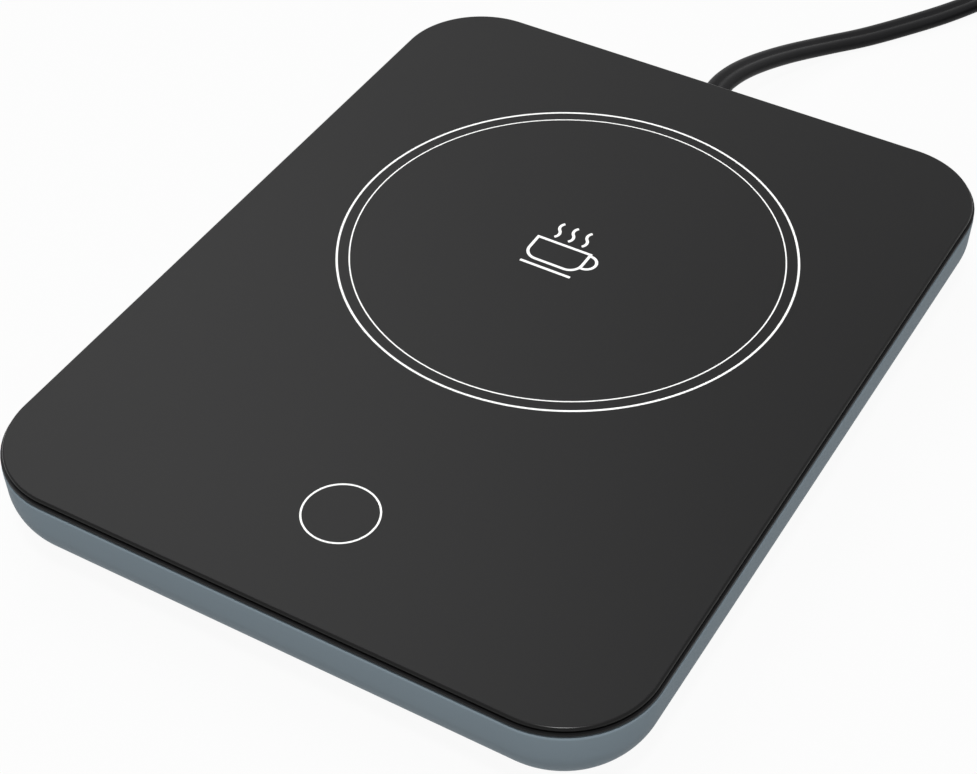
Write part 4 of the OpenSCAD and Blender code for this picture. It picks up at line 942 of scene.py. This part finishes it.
class WARMER_OT_springs(bpy.types.Operator):
    """Return springs round the guide tubes, and the touch key's contact spring"""
    bl_idname = "warmer.springs"
    bl_label = "Springs"

    def execute(self, context):
        coil = helix(r=5.1, wire=0.7, height=8.7, turns=5, low=8.1)
        springs = piece("plate_springs", at_posts(coil), "base", "spring_steel",
                        ["return_springs"])
        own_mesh(springs)
        touch = moved(helix(r=2.6, wire=0.5, height=1.95, turns=3, low=16.9), [0, -62.1, 0])
        piece("key_contact_spring", touch, "top_plate", "copper", ["key_spring"])
        return {"FINISHED"}


class WARMER_OT_wires(bpy.types.Operator):
    """Wires inside: supply, heater and sensor leads and the key's flat cable"""
    bl_idname = "warmer.wires"
    bl_label = "Wires inside"

    def execute(self, context):
        board_end, board_in = -34.95, -30.95
        supply_z, heater_z, sensor_z = 10.5, 10.5, 9.8
        free = np.array([[-12, 48, 7.5], [-24, 34, 6.5], [-27, 12, 6.2], [-26.5, -12, 7]])
        supply = [self.wire([[CORD_X + k * 1.3, 62.15, CORD_Z], [CORD_X + k * 1.3, 58.2, CORD_Z],
                             *(free + [k * 1.8, 0, 0]), [-21 + k * 1.8, board_in, supply_z],
                             [-21 + k * 1.8, board_end, supply_z]], 1.8, (0, 0, 1))
                  for k in (-1, 1)]
        piece("supply_leads", joined(supply), "base", "wire_cover", ["supply_wires"])
        heater = [self.wire(points, 1.6, ref) for points, ref in (
            ([[19.2, board_end, heater_z], [19.2, board_in, heater_z], [15.5, -24.2, 12.3],
              [10, -21.7, 14.75], [10, -21.7, 16.45], [10, -21.7, 17.25]], (1, 0.2, 0)),
            ([[22.8, board_end, heater_z], [22.8, board_in, heater_z], [30.15, -20.6, 10.5],
              [30.15, -10.3, 12.4], [28.55, -6.3, 13.2], [26.05, -6.3, 13.2]], (0, 0, 1)),
            ([[11.95, -6.3, 13.2], [9.45, -6.3, 13.2], [4.6, -14.5, 12.4], [3, -21.15, 12.4],
              [3, -22.75, 14.75], [3, -22.75, 17.25]], (0.3, 0.2, 0.1)))]
        sensor = [self.wire([[x, 20.7, 15.65], [x, 20.7, 14.1], [x - 1, 15, 11.8],
                             [x - 4, 4, 11], [x - 8, -14, 10.5], [x - 11.5, board_in, sensor_z],
                             [x - 11.5, board_end, sensor_z]], 1.0, (1, 0.3, 0.2))
                  for x in (-0.9, 0.9)]
        for name, shapes, node, low, high in (
                ("heater_leads", heater, "heater_wires", 10.5, 13.3),
                ("sensor_leads", sensor, "sensor_wires", 10.5, 13.3),
                ("key_ribbon", [self.ribbon()], "key_cable", 12.15, 15.85)):
            leads = piece(name, joined(shapes), None, "wire_cover", [node])
            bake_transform(leads)
        return {"FINISHED"}

    def ribbon(self):
        """A flat cable of six cores: half its thickness is 0.17 + 0.08 |sin(6 pi x / 5)|,
        carried along a smooth path in the upright plane through the key."""
        x = np.linspace(-2.5, 2.5, 61)
        half = np.stack([0.17 + 0.08 * np.abs(np.sin(6 * np.pi * x / 5)), x], -1)
        path = curve([[0, -50.75, 12.15], [0, -50.75, 12.7], [0, -51.2, 13.3],
                      [0, -53.3, 14.2], [0, -53.85, 15.0], [0, -53.85, 15.85]], 8)
        return skin(swept(path, np.vstack([half, -half]), 0.0, (1, 0, 0)))

    def wire(self, points, width, ref):
        """A round wire carried along the smooth curve through its points. ref is a direction
        that the wire nowhere runs along."""
        return skin(swept(curve(points, 8), circle(width / 2, 12), 0.0, ref))


class WARMER_OT_cad_finishes(bpy.types.Operator):
    """Gives each carried-over part the finish of its slot"""
    bl_idname = "warmer.cad_finishes"
    bl_label = "Finishes of carried-over parts"

    def execute(self, context):
        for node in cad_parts.values():
            for held in node.material_slots:
                slot = held.material.name.split(".")[0]
                held.material = slot_finish(slot)
        return {"FINISHED"}


class WARMER_PT_panel(bpy.types.Panel):
    """Lists the steps that dress the mug warmer"""
    bl_idname = "WARMER_PT_panel"
    bl_label = "Mug Warmer"
    bl_space_type = "VIEW_3D"
    bl_region_type = "UI"
    bl_category = "Warmer"

    def draw(self, context):
        for step in STEPS:
            self.layout.operator(step.bl_idname)
        for group_name in SETTINGS:
            held = getattr(context.scene, group_name)
            for key in held.bl_rna.properties.keys():
                if key not in {"rna_type", "name"}:
                    self.layout.prop(held, key)


STEPS = [WARMER_OT_stage, WARMER_OT_cord, WARMER_OT_glass_top, WARMER_OT_shell,
         WARMER_OT_springs, WARMER_OT_wires, WARMER_OT_cad_finishes]
SETTINGS = {"warmer_plate": PlateSettings, "warmer_shell": ShellSettings,
            "warmer_cord": CordSettings, "warmer_colours": ColourSettings,
            "warmer_studio": StudioSettings}


def register():
    for held in [*SETTINGS.values(), *STEPS, WARMER_PT_panel]:
        bpy.utils.register_class(held)
    for name, held in SETTINGS.items():
        setattr(bpy.types.Scene, name, PointerProperty(type=held))


def unregister():
    for name in SETTINGS:
        delattr(bpy.types.Scene, name)
    for held in [*SETTINGS.values(), *STEPS, WARMER_PT_panel]:
        bpy.utils.unregister_class(held)


def main():
    register()
    for step in STEPS:
        getattr(bpy.ops.warmer, step.bl_idname.split(".")[1])()


if __name__ == "__main__":
    main()
